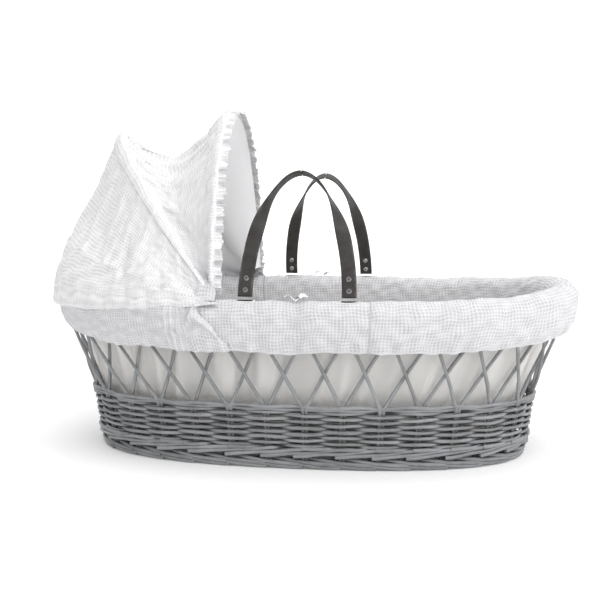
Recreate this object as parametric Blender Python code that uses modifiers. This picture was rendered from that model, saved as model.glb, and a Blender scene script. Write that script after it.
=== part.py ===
"""Moses basket: a willow basket with an open lattice wall, a padded rim cover, two strap handles and a
folding fabric hood on two wire hoops. Metres, +Z up. The origin is the middle of the base, on the
surface that the basket stands on. +X points to the foot end, -X to the head end under the hood."""

import math

import bmesh
import bpy
from mathutils import Matrix, Vector

# Plan outline: the same superellipse at every height, from the base (bottom) to the rim (top).
PLAN_POWER = 2.5
OUTLINE = (  # height, half length, half width of the wicker's outer face
    (0.000, 0.358, 0.176),
    (0.102, 0.374, 0.191),
    (0.160, 0.392, 0.2005),
    (0.215, 0.4115, 0.2105),
    (0.245, 0.417, 0.2125),
)
RIM_RISE = 0.017  # how much higher the rim is at the two ends
RISE_FROM = 0.200
RISE_TO = 0.245
AROUND = 56  # steps round a full ring
GAP = 0.0004

# Woven wall
WALL = 0.0125
FOOT_TOP = 0.018
BASE_THICK = 0.008
BASE_CLEAR = 0.001
WEAVE_TOP = 0.1015
BORDER_BOTTOM = 0.2155
BORDER_TOP = 0.2295
RIM_ROD_BOTTOM = 0.2335
RIM_ROD_TOP = 0.245

# Lattice of crossing stakes
STAKE_COUNT = 32
STAKE_PANELS = 16
STAKE_SHIFT = 0.196  # where the first stake pair stands, as a share of the spacing
STAKE_RADIUS = 0.003
STAKE_MIDDLE = -0.0064  # from the outline to the middle of the lattice
STAKE_APART_FOOT = 0.002
STAKE_APART_JOINED = 0.0023
STAKE_APART_CLEAR = 0.0035
STAKE_BOTTOM = 0.1036
STAKE_TOP = 0.2135

# Soft goods
LINER_OUT = -0.0140
LINER_IN = -0.0165
LINER_BOTTOM = 0.012
LINER_TOP = 0.205
MATTRESS_INSET = -0.024
MATTRESS_BOTTOM = BASE_THICK + 0.0005
MATTRESS_TOP = 0.050
MATTRESS_EDGE = 0.008
HEM_RISE = 0.016  # how much higher the cover's hem is at the two ends
COVER = (  # offset from the outline, height, share of the hem's rise
    (0.0058, 0.2300, 0.0),
    (0.0050, 0.2050, 0.5),
    (0.0045, 0.1870, 1.0),
    (0.0075, 0.1880, 1.0),
    (0.0130, 0.2050, 0.5),
    (0.0145, 0.2260, 0.1),
    (0.0125, 0.2460, 0.0),
    (0.0050, 0.2590, 0.0),
    (-0.0070, 0.2645, 0.0),
    (-0.0190, 0.2610, 0.0),
    (-0.0270, 0.2500, 0.0),
    (-0.0275, 0.2300, 0.0),
    (-0.0240, 0.2090, 0.0),
    (-0.0180, 0.2080, 0.0),
    (-0.0180, 0.2500, 0.0),
    (0.0058, 0.2500, 0.0),
)
SKIRT_THICK = 0.0025
SKIRT_STEPS = (17, 39)  # of the steps round a full ring, counted from the foot end
COVER_LENGTHS = (  # name, first and last step
    ("foot_back", 3, 17),
    ("head_back", 17, 31),
    ("head_front", 31, 45),
    ("foot_front", 45, 59),
)
LINER_LENGTHS = (
    ("foot_back", 0, 14),
    ("head_back", 14, 28),
    ("head_front", 28, 42),
    ("foot_front", 42, 56),
)
SEAM_GAP = 0.0001  # half the gap between two lengths, as a share of the way round

# Handles
STRAP_WIDTH = 0.022
STRAP_THICK = 0.0025
TAIL_THICK = 0.005
TAIL_LENGTH = 0.040
TAIL_STEP = 0.01  # half the length of the step where a tail ends, as a share of one section's length
TWIST_FROM = 0.35  # share of the rise where a strap starts to twist
TWIST_OVER = 0.55
SLIT_MARGIN = 0.005
SLIT_WIDTH = 0.008
SLIT_BOTTOM = 0.2500
SLIT_TOP = 0.2800
LOOP_NEAR = 0.0006  # from the rim rod to the loop round it
LOOP_THICK = 0.0022
LOOP_LEAN = 0.0009  # how much the rod's face leans over its height
NECK_BELOW_AXIS = 0.0038
FOOT_CLEAR = 0.0012
HANDLE_AXIS_Z = 0.2690
HANDLE_AXIS_OFFSET = -0.0065
HANDLE_RISE = 0.1835
ARCH_POWER = 1.9
ARCH_STEPS = 22
HANDLES = (  # name, side, left foot x, right foot x, apex lean towards the middle
    ("front", -1, -0.075, 0.080, 0.055),
    ("back", 1, -0.061, 0.081, 0.075),
)
RIVET_HEIGHTS = (0.010, 0.028)
RIVET_SHANK = 0.0020
RIVET_HEAD = 0.0045
RIVET_HEAD_THICK = 0.0010
RIVET_HOLE = 0.0011
RIVET_STEPS = 12

# Hood
HOOD_PIVOT_X = -0.130
HOOD_PIVOT_Z = 0.2730
WIRE_RADIUS = 0.0022
EYE_RADIUS = 0.0060
EYE_THICK = 0.0018
PIN_RADIUS = 0.0020
PIN_HEAD = 0.0040
PRONG_Y = 0.1907
REAR_HOOP_Y = 0.1885
FRONT_HOOP_Y = 0.1832
PRONG_FOOT_Z = 0.2120
PRONG_WIDTH = 0.010
PRONG_THICK = 0.0016
PRONG_SLIT = (0.004, 0.005)  # wider than the prong along X, and its width along Y
PRONG_SLIT_BOTTOM = 0.2320
PIN_HEAD_THICK = 0.0015
PIN_PLAY = 0.0003
CUT_REACH = 0.004
REAR_HOOP = ((-0.325, 0.517), REAR_HOOP_Y, 1.5)  # top of the arch (x, z), half width, roundness
FRONT_HOOP = ((-0.132, 0.555), FRONT_HOOP_Y, 2.0)
HOOP_STEPS = 26
CLOTH_THICK = 0.0016
CLOTH_CLEAR = 0.0065  # from a hoop's middle line to the cloth over it
CLOTH_START = 0.30  # angle from a pivot, along a hoop, where its cloth begins
CLOTH_STEPS = 20
TOP_LEVELS = 6
BACK_LEVELS = 4
SAG = 0.050
WAIST = 0.10  # how much narrower the top panel is half way between the hoops
TOP_FROM_REAR = 0.005
TOP_FROM_FRONT = 0.003
BACK_FROM_REAR = 0.004
SEAM_OFFSET = 0.0185
BULGE = (0.004, 0.010)  # how far the back panel stands out over the seam: at the sides, and more at the end
BULGE_HEIGHT = 0.026
SEAM_CLEAR = 0.002
FRILL_AHEAD = 0.0045
FRILL_WIDTH = 0.019

TIE_SIZE = (0.022, 0.007, 0.008)
TIE_BOTTOM = 0.2652
TIE_TAPER = (0.55, 0.5)
TIE_LEAN = 0.003


def clear_scene():
    for item in list(bpy.data.objects):
        bpy.data.objects.remove(item)


def collection(name):
    made = bpy.data.collections.new(name)
    bpy.context.scene.collection.children.link(made)
    return made


def material(name, colour, roughness, metallic=0.0):
    made = bpy.data.materials.new(name)
    made.use_nodes = True
    shader = made.node_tree.nodes["Principled BSDF"]
    shader.inputs["Base Color"].default_value = (*colour, 1.0)
    shader.inputs["Roughness"].default_value = roughness
    shader.inputs["Metallic"].default_value = metallic
    return made


def wicker(name):
    return material(name + "_wicker", (0.215, 0.225, 0.235), 0.6)


def cotton(name):
    return material(name + "_cotton", (0.84, 0.84, 0.85), 0.9)


def strap_leather(name):
    return material(name + "_leather", (0.070, 0.064, 0.060), 0.55)


def steel(name):
    return material(name + "_steel", (0.62, 0.62, 0.63), 0.3, 1.0)


def finish(obj, look, angle=40.0):
    """Gives the object its material and smooth shading with sharp creases."""
    obj.data.materials.append(look)
    obj.data.shade_smooth()
    obj.data.set_sharp_from_angle(angle=math.radians(angle))
    return obj


def mesh_object(name, vertices, faces, group):
    mesh = bpy.data.meshes.new(name)
    mesh.from_pydata([tuple(v) for v in vertices], [], faces)
    work = bmesh.new()
    work.from_mesh(mesh)
    bmesh.ops.recalc_face_normals(work, faces=work.faces)
    work.to_mesh(mesh)
    work.free()
    made = bpy.data.objects.new(name, mesh)
    group.objects.link(made)
    return made


def loft(name, rows, group, closed_rows=False, closed_row=True, caps=False):
    """Joins equal rows of points by quads. A closed row ends where it begins; caps fill the two end rows."""
    count = len(rows[0])
    vertices = [point for row in rows for point in row]
    faces = []
    last_row = len(rows) if closed_rows else len(rows) - 1
    last_point = count if closed_row else count - 1
    for i in range(last_row):
        for j in range(last_point):
            a, b = i * count + j, i * count + (j + 1) % count
            up = ((i + 1) % len(rows)) * count
            faces.append((a, b, up + (j + 1) % count, up + j))
    if caps:
        faces.append(tuple(range(count)))
        faces.append(tuple(range((len(rows) - 1) * count, len(rows) * count)))
    return mesh_object(name, vertices, faces, group)


def real_mesh(obj, group, name=None):
    """A plain mesh object from a curve or from a mesh with its modifiers, which is then removed."""
    bpy.context.view_layer.update()
    graph = bpy.context.evaluated_depsgraph_get()
    mesh = bpy.data.meshes.new_from_object(obj.evaluated_get(graph))
    work = bmesh.new()
    work.from_mesh(mesh)
    bmesh.ops.remove_doubles(work, verts=work.verts, dist=0.000001)
    bmesh.ops.recalc_face_normals(work, faces=work.faces)
    work.to_mesh(mesh)
    work.free()
    final_name = name or obj.name
    world = obj.matrix_world.copy()
    bpy.data.objects.remove(obj)
    made = bpy.data.objects.new(final_name, mesh)
    made.matrix_world = world
    group.objects.link(made)
    return made


def boolean(obj, other, operation):
    step = obj.modifiers.new(operation.lower(), "BOOLEAN")
    step.operation = operation
    step.object = other
    step.solver = "EXACT"


def union(name, pieces, group):
    """One body made of meshes that overlap. The pieces are used up."""
    first, others = pieces[0], pieces[1:]
    for other in others:
        boolean(first, other, "UNION")
    made = real_mesh(first, group, name)
    for other in others:
        bpy.data.objects.remove(other)
    return made


def cut(obj, cutters, group):
    """The object less its cutters, which stay in the cutters' collection."""
    for cutter in cutters:
        boolean(obj, cutter, "DIFFERENCE")
    return real_mesh(obj, group)


def as_cutter(obj):
    obj.hide_render = True
    obj.display_type = "WIRE"
    return obj


def box(name, low, high, group):
    work = bmesh.new()
    bmesh.ops.create_cube(work, size=1.0)
    size = Vector(high) - Vector(low)
    centre = (Vector(high) + Vector(low)) / 2
    bmesh.ops.transform(
        work, matrix=Matrix.Translation(centre) @ Matrix.Diagonal((*size, 1.0)), verts=work.verts
    )
    mesh = bpy.data.meshes.new(name)
    work.to_mesh(mesh)
    work.free()
    made = bpy.data.objects.new(name, mesh)
    group.objects.link(made)
    return made


def rod_along_y(name, x, z, y_low, y_high, radius, steps, group):
    """A cylinder lying along Y."""
    work = bmesh.new()
    bmesh.ops.create_cone(
        work, cap_ends=True, segments=steps, radius1=radius, radius2=radius, depth=y_high - y_low
    )
    turn = Matrix.Rotation(math.pi / 2, 4, "X")
    place = Matrix.Translation((x, (y_low + y_high) / 2, z)) @ turn
    bmesh.ops.transform(work, matrix=place, verts=work.verts)
    mesh = bpy.data.meshes.new(name)
    work.to_mesh(mesh)
    work.free()
    made = bpy.data.objects.new(name, mesh)
    group.objects.link(made)
    return made


def tube(name, points, radius, sides_level, group):
    """A POLY curve with a round section and closed ends, made a mesh."""
    data = bpy.data.curves.new(name, "CURVE")
    data.dimensions = "3D"
    data.bevel_depth = radius
    data.bevel_resolution = sides_level
    data.use_fill_caps = True
    line = data.splines.new("POLY")
    line.points.add(len(points) - 1)
    for place, point in zip(line.points, points):
        place.co = (*point, 1.0)
    made = bpy.data.objects.new(name, data)
    group.objects.link(made)
    return real_mesh(made, group)


def smooth_step(value):
    held = min(max(value, 0.0), 1.0)
    return held * held * (3 - 2 * held)


def half_sizes(z):
    """Half length and half width of the wicker's outer face at this height."""
    if z <= OUTLINE[0][0]:
        return OUTLINE[0][1:]
    for low, high in zip(OUTLINE, OUTLINE[1:]):
        if z <= high[0]:
            share = (z - low[0]) / (high[0] - low[0])
            return tuple(a + share * (b - a) for a, b in zip(low[1:], high[1:]))
    return OUTLINE[-1][1:]


def superellipse(half_x, half_y, turn, power=PLAN_POWER):
    c, s = math.cos(turn), math.sin(turn)
    return Vector(
        (
            math.copysign(half_x * abs(c) ** (2 / power), c),
            math.copysign(half_y * abs(s) ** (2 / power), s),
            0.0,
        )
    )


def even_turns(samples=2880):
    """Turn angles that are evenly spaced along the outline at mid height, as (length share, turn)."""
    half_x, half_y = half_sizes(OUTLINE[2][0])
    found = [(0.0, 0.0)]
    before = superellipse(half_x, half_y, 0.0)
    length = 0.0
    for i in range(1, samples + 1):
        turn = 2 * math.pi * i / samples
        here = superellipse(half_x, half_y, turn)
        length += (here - before).length
        found.append((length, turn))
        before = here
    return [(at / length, turn) for at, turn in found]


TURNS = even_turns()


def turn_at(share):
    share %= 1.0
    low, high = 0, len(TURNS) - 1
    while high - low > 1:
        middle = (low + high) // 2
        if TURNS[middle][0] <= share:
            low = middle
        else:
            high = middle
    (a, turn_a), (b, turn_b) = TURNS[low], TURNS[high]
    return turn_a + (turn_b - turn_a) * (share - a) / (b - a)


def outward(share):
    """The plan outline's outward normal."""
    half_x, half_y = half_sizes(OUTLINE[2][0])
    p = superellipse(half_x, half_y, turn_at(share))
    slope_x = math.copysign(abs(p.x / half_x) ** (PLAN_POWER - 1) / half_x, p.x)
    slope_y = math.copysign(abs(p.y / half_y) ** (PLAN_POWER - 1) / half_y, p.y)
    return Vector((slope_x, slope_y, 0.0)).normalized()


def end_share(x):
    """0 along the sides, rising to 1 at the two ends."""
    return min(abs(x) / OUTLINE[-1][1], 1.0) ** 4


def on_wall(share, offset, z, lift=0.0):
    """A point at this share of the way round, this far outside the wicker's face, at this height."""
    half_x, half_y = half_sizes(z)
    p = superellipse(half_x, half_y, turn_at(share)) + outward(share) * offset
    rise = RIM_RISE * smooth_step((z - RISE_FROM) / (RISE_TO - RISE_FROM))
    end = end_share(p.x)
    return Vector((p.x, p.y, z + end * (rise + HEM_RISE * lift)))


def ring(name, section, group, steps=AROUND):
    """A closed ring round the basket whose section is a closed list of (offset, height, hem rise)."""
    rows = [[on_wall(i / steps, *point) for point in section] for i in range(steps)]
    return loft(name, rows, group, closed_rows=True)


def arc(name, section, first, last, group):
    """A length of a ring between two steps, with closed ends."""
    shares = [step / AROUND for step in range(first, last + 1)]
    shares[0] += SEAM_GAP
    shares[-1] -= SEAM_GAP
    rows = [[on_wall(share, *point) for point in section] for share in shares]
    return loft(name, rows, group, caps=True)


def side_share(x, side):
    """The share of the way round of a place on a long side. side is -1 at the front, 1 at the back."""
    low, high = (0.5, 1.0) if side < 0 else (0.0, 0.5)
    for _ in range(40):
        middle = (low + high) / 2
        ahead = on_wall(middle, 0.0, RIM_ROD_TOP).x < x
        if ahead == (side < 0):
            low = middle
        else:
            high = middle
    return (low + high) / 2


def make_base(parts):
    rows = []
    for z in (0.0, BASE_THICK):
        half_x, half_y = half_sizes(0.0)
        inset = WALL + BASE_CLEAR
        rows.append(
            [
                superellipse(half_x - inset, half_y - inset, turn_at(i / AROUND)) + Vector((0, 0, z))
                for i in range(AROUND)
            ]
        )
    finish(loft("base_panel", rows, parts, caps=True), wicker("base_panel"))


def make_woven_rings(parts):
    bands = (
        ("foot_border", 0.0, FOOT_TOP),
        ("wall_weave", FOOT_TOP + GAP, WEAVE_TOP),
        ("border_weave", BORDER_BOTTOM, BORDER_TOP),
        ("rim_rod", RIM_ROD_BOTTOM, RIM_ROD_TOP),
    )
    for name, low, high in bands:
        section = ((0.0, low), (0.0, high), (-WALL, high), (-WALL, low))
        finish(ring(name, section, parts), wicker(name))


def stake(index, lean, apart_top, apart_crossing, group):
    """One stake: lean is 1 when its top is one place further round and -1 when it is one place back.
    Stakes that lean one way run outside, the others inside."""
    side = -lean
    pitch = 1.0 / STAKE_COUNT
    foot = (index + STAKE_SHIFT) * pitch
    line = (
        (STAKE_BOTTOM, 0.0, STAKE_APART_FOOT),
        ((STAKE_BOTTOM + STAKE_TOP) / 2, 0.5, apart_crossing),
        (STAKE_TOP, 1.0, apart_top),
    )
    points = [
        on_wall(foot + lean * along * pitch, STAKE_MIDDLE + side * apart, z)
        for z, along, apart in line
    ]
    return tube(f"stake_{index}_{lean}", points, STAKE_RADIUS, 1, group)


def make_stakes(parts):
    """Each panel is two neighbouring pairs of stakes, joined where they cross and at their feet."""
    each = STAKE_COUNT // STAKE_PANELS
    for panel in range(STAKE_PANELS):
        rods = []
        for index in range(panel * each, (panel + 1) * each):
            first, last = index == panel * each, index == (panel + 1) * each - 1
            ahead = STAKE_APART_CLEAR if last else STAKE_APART_JOINED
            back = STAKE_APART_CLEAR if first else STAKE_APART_JOINED
            rods.append(stake(index, 1, STAKE_APART_CLEAR, ahead, parts))
            rods.append(stake(index, -1, STAKE_APART_CLEAR, back, parts))
        name = f"stake_panel_{panel + 1:02d}"
        finish(union(name, rods, parts), wicker(name))


def make_liner(parts):
    section = (
        (LINER_OUT, LINER_BOTTOM),
        (LINER_OUT, WEAVE_TOP),
        (LINER_OUT, LINER_TOP),
        (LINER_IN, LINER_TOP),
        (LINER_IN, WEAVE_TOP),
        (LINER_IN, LINER_BOTTOM),
    )
    for label, first, last in LINER_LENGTHS:
        name = f"liner_{label}"
        finish(arc(name, section, first, last, parts), cotton(name))


def make_mattress(parts):
    levels = (
        (MATTRESS_BOTTOM, -MATTRESS_EDGE),
        (MATTRESS_BOTTOM + MATTRESS_EDGE, 0.0),
        (MATTRESS_TOP - MATTRESS_EDGE, 0.0),
        (MATTRESS_TOP, -MATTRESS_EDGE),
    )
    rows = [
        [on_wall(i / AROUND, MATTRESS_INSET + inset, z) for i in range(AROUND)] for z, inset in levels
    ]
    finish(loft("mattress", rows, parts, caps=True), cotton("mattress"))


def slot_cutter(name, place, size, bottom, cutters):
    """An upright slot through the cover, from this height to above it."""
    low = (place[0] - size[0] / 2, place[1] - size[1] / 2, bottom)
    high = (place[0] + size[0] / 2, place[1] + size[1] / 2, SLIT_TOP)
    return as_cutter(box(name, low, high, cutters))


def handle_feet():
    """Where each strap leaves the cover: name, side, x, y."""
    for name, side, left, right, _ in HANDLES:
        for end, x in (("left", left), ("right", right)):
            share = side_share(x, side)
            y = on_wall(share, HANDLE_AXIS_OFFSET, RIM_ROD_TOP).y
            yield f"{name}_{end}", side, x, y


def make_cover(parts, cutters):
    slots = []
    for name, _, x, y in handle_feet():
        size = (STRAP_WIDTH + SLIT_MARGIN, SLIT_WIDTH)
        slots.append(slot_cutter(f"slit_{name}", (x, y), size, SLIT_BOTTOM, cutters))
    for name, side in (("front", -1), ("back", 1)):
        place = (HOOD_PIVOT_X, side * PRONG_Y)
        size = (PRONG_WIDTH + PRONG_SLIT[0], PRONG_SLIT[1])
        slots.append(slot_cutter(f"slit_prong_{name}", place, size, PRONG_SLIT_BOTTOM, cutters))
    for label, first, last in COVER_LENGTHS:
        name = f"rim_cover_{label}"
        body = arc(name, COVER, first, last, parts)
        finish(cut(body, slots, parts), cotton(name))


def make_skirt(parts):
    """The hood's lower band, which goes over the outside of the cover round the head end."""
    outer = COVER[2:7]
    near = [(offset + GAP * 2, z, lift) for offset, z, lift in outer]
    far = [(offset + GAP * 2 + SKIRT_THICK, z, lift) for offset, z, lift in outer]
    section = near + far[::-1]
    first, last = SKIRT_STEPS
    rows = [[on_wall(i / AROUND, *point) for point in section] for i in range(first, last + 1)]
    finish(loft("hood_skirt", rows, parts, caps=True), cotton("hood_skirt"))


def make_ties(parts):
    for name, side in (("front", -1), ("back", 1)):
        share = side_share(0.0, side)
        foot = on_wall(share, HANDLE_AXIS_OFFSET, RIM_ROD_TOP)
        size = Vector(TIE_SIZE)
        low = Vector((-size.x / 2, foot.y - size.y / 2, TIE_BOTTOM))
        tie = box(f"cover_tie_{name}", low, low + size, parts)
        for vertex in tie.data.vertices:
            if vertex.co.z > low.z + size.z / 2:
                vertex.co.x = TIE_TAPER[0] * vertex.co.x + TIE_LEAN
                vertex.co.y = foot.y + TIE_TAPER[1] * (vertex.co.y - foot.y)
        finish(tie, cotton(tie.name))


def make_anchor_loops(parts):
    """The part of each strap below its slit: a closed loop round the rim rod and a neck up to the slit."""
    near, thick = LOOP_NEAR, LOOP_THICK
    for name, side, x, y in handle_feet():
        share = side_share(x, side)
        outer_y = on_wall(share, 0.0, RIM_ROD_TOP).y
        inner_y = on_wall(share, -WALL, RIM_ROD_TOP).y
        apart = side * (near + LOOP_LEAN)
        low_y, high_y = sorted((outer_y + apart, inner_y - apart))
        low = Vector((x - STRAP_WIDTH / 2, low_y, RIM_ROD_BOTTOM - near))
        high = Vector((x + STRAP_WIDTH / 2, high_y, RIM_ROD_TOP + near))
        around = Vector((0, thick, thick))
        outer = box(f"handle_loop_{name}", low - around, high + around, parts)
        reach = Vector((0.01, 0, 0))
        hole = as_cutter(box(f"loop_hole_{name}", low - reach, high + reach, parts))
        neck_low = Vector((x - STRAP_WIDTH / 2, y - TAIL_THICK / 2, RIM_ROD_TOP + near + thick / 2))
        neck_high = Vector((x + STRAP_WIDTH / 2, y + TAIL_THICK / 2, HANDLE_AXIS_Z - NECK_BELOW_AXIS))
        neck = box(f"neck_{name}", neck_low, neck_high, parts)
        boolean(outer, hole, "DIFFERENCE")
        made = union(outer.name, [outer, neck], parts)
        bpy.data.objects.remove(hole)
        finish(made, strap_leather(made.name))


def arch_points(side, left, right, lean, y_foot):
    """The handle's middle line with the direction of the strap's width at each point."""
    middle = (left + right) / 2
    half = (right - left) / 2
    up = Vector((0.0, -side * lean, HANDLE_RISE))
    height = up.length
    up = up.normalized()
    across = Vector((1.0, 0.0, 0.0))
    face = across.cross(up).normalized()
    foot_z = HANDLE_AXIS_Z + FOOT_CLEAR
    found = []
    for i in range(ARCH_STEPS + 1):
        turn = math.pi * i / ARCH_STEPS
        c, s = math.cos(turn), math.sin(turn)
        h = abs(s) ** (2 / ARCH_POWER)
        x = -math.copysign(abs(c) ** (2 / ARCH_POWER), c)
        place = Vector((middle + half * x, y_foot, foot_z)) + up * (height - FOOT_CLEAR) * h
        found.append((place, h))
    lines = []
    for i, (place, h) in enumerate(found):
        ahead = found[min(i + 1, ARCH_STEPS)][0] - found[max(i - 1, 0)][0]
        if i in (0, ARCH_STEPS):
            ahead = up if i == 0 else -up
        along = ahead.normalized()
        flat = face.cross(along).normalized()
        twist = smooth_step((h - TWIST_FROM) / TWIST_OVER) * math.pi / 2
        sense = 1.0 if i <= ARCH_STEPS / 2 else -1.0
        width = flat * math.cos(twist) + face * sense * math.sin(twist)
        lines.append((place, along, width, h * height))
    return lines


def strap_section(place, along, width, thick):
    normal = along.cross(width).normalized()
    a = width * (STRAP_WIDTH / 2)
    b = normal * (thick / 2)
    return [place - a - b, place + a - b, place + a + b, place - a + b]


def strap_rows(lines):
    """Sections along a strap, which is doubled below the end of each tail."""
    rows = []
    last = lines[0]
    for line in lines:
        if (last[3] < TAIL_LENGTH) != (line[3] < TAIL_LENGTH):
            share = (TAIL_LENGTH - last[3]) / (line[3] - last[3])
            along = last[1].lerp(line[1], share)
            thicks = (TAIL_THICK, STRAP_THICK) if last[3] < line[3] else (STRAP_THICK, TAIL_THICK)
            for step, thick in zip((-TAIL_STEP, TAIL_STEP), thicks):
                rows.append(strap_section(last[0].lerp(line[0], share + step), along, last[2], thick))
        thick = TAIL_THICK if line[3] < TAIL_LENGTH else STRAP_THICK
        rows.append(strap_section(*line[:3], thick))
        last = line
    return rows


def triangulate(obj):
    """Splits every face, so that the twisted ones are the same wherever the mesh is read."""
    work = bmesh.new()
    work.from_mesh(obj.data)
    bmesh.ops.triangulate(work, faces=work.faces)
    work.to_mesh(obj.data)
    work.free()


def make_handles(parts, cutters):
    feet = {name: y for name, _, _, y in handle_feet()}
    for name, side, left, right, lean in HANDLES:
        y_foot = (feet[f"{name}_left"] + feet[f"{name}_right"]) / 2
        lines = arch_points(side, left, right, lean, y_foot)
        strap = loft(f"handle_{name}", strap_rows(lines), parts, caps=True)
        triangulate(strap)
        half = len(lines) // 2
        rivets = []
        for end, leg in (("left", lines[: half + 1]), ("right", lines[half:][::-1])):
            for order, height in enumerate(RIVET_HEIGHTS):
                label = f"handle_{name}_{end}_{order + 1}"
                rivets.append((label, *rivet_place(side, lean, height, leg)))
        holes = [pin_cutter(f"hole_{label}", place, turn, cutters) for label, place, turn in rivets]
        strap = cut(strap, holes, parts)
        triangulate(strap)
        finish(strap, strap_leather(strap.name))
        for label, place, turn in rivets:
            make_rivet(label, place, turn, parts)


def rivet_place(side, lean, height, leg):
    """Middle and turn of a rivet on a leg of a strap. Its own Z lies along the strap's thickness."""
    for low, high in zip(leg, leg[1:]):
        if low[3] <= height <= high[3]:
            share = (height - low[3]) / (high[3] - low[3])
            place = low[0].lerp(high[0], share)
            break
    up = Vector((0.0, -side * lean, HANDLE_RISE)).normalized()
    out = Vector((0.0, side * up.z, -side * up.y))
    turn = Vector((0, 0, 1)).rotation_difference(out).to_matrix().to_4x4()
    return place, turn


def pin_cutter(name, place, turn, cutters):
    work = bmesh.new()
    radius = RIVET_SHANK + PIN_PLAY
    bmesh.ops.create_cone(
        work, cap_ends=True, segments=RIVET_STEPS, radius1=radius, radius2=radius, depth=0.02
    )
    bmesh.ops.transform(work, matrix=Matrix.Translation(place) @ turn, verts=work.verts)
    mesh = bpy.data.meshes.new(name)
    work.to_mesh(mesh)
    work.free()
    made = bpy.data.objects.new(name, mesh)
    cutters.objects.link(made)
    return as_cutter(made)


def make_rivet(label, place, turn, parts):
    """A ring rivet: two flanged heads and a hollow shank, turned about its own Z."""
    half = TAIL_THICK / 2 + PIN_PLAY
    head = half + RIVET_HEAD_THICK
    profile = (
        (RIVET_HOLE, head),
        (RIVET_HEAD * 0.8, head),
        (RIVET_HEAD, half),
        (RIVET_SHANK, half),
        (RIVET_SHANK, -half),
        (RIVET_HEAD, -half),
        (RIVET_HEAD * 0.8, -head),
        (RIVET_HOLE, -head),
    )
    rows = []
    for i in range(RIVET_STEPS):
        angle = 2 * math.pi * i / RIVET_STEPS
        spin = Matrix.Rotation(angle, 4, "Z")
        rows.append([Matrix.Translation(place) @ turn @ spin @ Vector((r, 0, z)) for r, z in profile])
    made = loft(f"rivet_{label}", rows, parts, closed_rows=True)
    finish(made, steel(made.name))


def hoop_line(top, half_y, power, steps=HOOP_STEPS, start=0.0, grow=0.0):
    """Points of a hoop from its front pivot over the top to its back pivot. start leaves out its ends."""
    rise = Vector((top[0] - HOOD_PIVOT_X, 0.0, top[1] - HOOD_PIVOT_Z))
    rise = rise * (1 + grow / rise.length)
    points = []
    for i in range(steps + 1):
        turn = start + (math.pi - 2 * start) * i / steps
        c, s = math.cos(turn), math.sin(turn)
        y = -math.copysign((half_y + grow) * abs(c) ** (2 / power), c)
        h = abs(s) ** (2 / power)
        points.append(Vector((HOOD_PIVOT_X, y, HOOD_PIVOT_Z)) + rise * h)
    return points


def make_hoop(name, top, half_y, power, parts, cutters):
    wire = tube(name + "_wire", hoop_line(top, half_y, power), WIRE_RADIUS, 1, parts)
    pieces = [wire]
    holes = []
    for side in (-1, 1):
        low, high = side * half_y - EYE_THICK / 2, side * half_y + EYE_THICK / 2
        eye = rod_along_y(
            f"{name}_eye_{side}", HOOD_PIVOT_X, HOOD_PIVOT_Z, low, high, EYE_RADIUS, 16, parts
        )
        pieces.append(eye)
        holes.append(
            as_cutter(
                rod_along_y(
                    f"hole_{name}_{side}", HOOD_PIVOT_X, HOOD_PIVOT_Z,
                    low - CUT_REACH, high + CUT_REACH, PIN_RADIUS + PIN_PLAY, 12, cutters,
                )
            )
        )
    made = cut(union(name, pieces, parts), holes, parts)
    trim_wire_ends(made, half_y)
    finish(made, steel(name))


def trim_wire_ends(obj, half_y):
    """Keeps the wire's end inside the thickness of its flat eye."""
    for vertex in obj.data.vertices:
        near_pivot = math.hypot(vertex.co.x - HOOD_PIVOT_X, vertex.co.z - HOOD_PIVOT_Z)
        if near_pivot < EYE_RADIUS + 0.0005:
            side = math.copysign(1.0, vertex.co.y)
            reach = EYE_THICK / 2
            held = min(max(side * vertex.co.y - half_y, -reach), reach)
            vertex.co.y = side * (half_y + held)


def make_prongs(parts, cutters):
    """Flat bars pushed down between the wicker and the liner, with the pin that both hoops turn on."""
    for name, side in (("front", -1), ("back", 1)):
        low_y = side * PRONG_Y - PRONG_THICK / 2
        high_y = side * PRONG_Y + PRONG_THICK / 2
        bar = box(
            f"hood_prong_{name}",
            (HOOD_PIVOT_X - PRONG_WIDTH / 2, low_y, PRONG_FOOT_Z),
            (HOOD_PIVOT_X + PRONG_WIDTH / 2, high_y, HOOD_PIVOT_Z),
            parts,
        )
        eye = rod_along_y(
            f"prong_eye_{name}", HOOD_PIVOT_X, HOOD_PIVOT_Z, low_y, high_y, EYE_RADIUS, 16, parts
        )
        hole = as_cutter(
            rod_along_y(
                f"prong_hole_{name}", HOOD_PIVOT_X, HOOD_PIVOT_Z,
                low_y - CUT_REACH, high_y + CUT_REACH, PIN_RADIUS + PIN_PLAY, 12, cutters,
            )
        )
        made = cut(union(bar.name, [bar, eye], parts), [hole], parts)
        finish(made, steel(made.name))
        make_hood_pin(name, side, parts)


def make_hood_pin(name, side, parts):
    inner = FRONT_HOOP_Y - EYE_THICK / 2 - PIN_PLAY
    outer = PRONG_Y + PRONG_THICK / 2 + PIN_PLAY
    sunk = PIN_HEAD_THICK / 3
    shank = rod_along_y(
        f"hood_pin_{name}", HOOD_PIVOT_X, HOOD_PIVOT_Z,
        *sorted((side * (inner - sunk), side * (outer + sunk))), PIN_RADIUS, 12, parts,
    )
    heads = []
    ends = (("in", inner - PIN_HEAD_THICK, inner), ("out", outer, outer + PIN_HEAD_THICK))
    for label, low, high in ends:
        heads.append(
            rod_along_y(
                f"pin_head_{name}_{label}", HOOD_PIVOT_X, HOOD_PIVOT_Z,
                *sorted((side * low, side * high)), PIN_HEAD, 12, parts,
            )
        )
    made = union(shank.name, [shank, *heads], parts)
    finish(made, steel(made.name))


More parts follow.
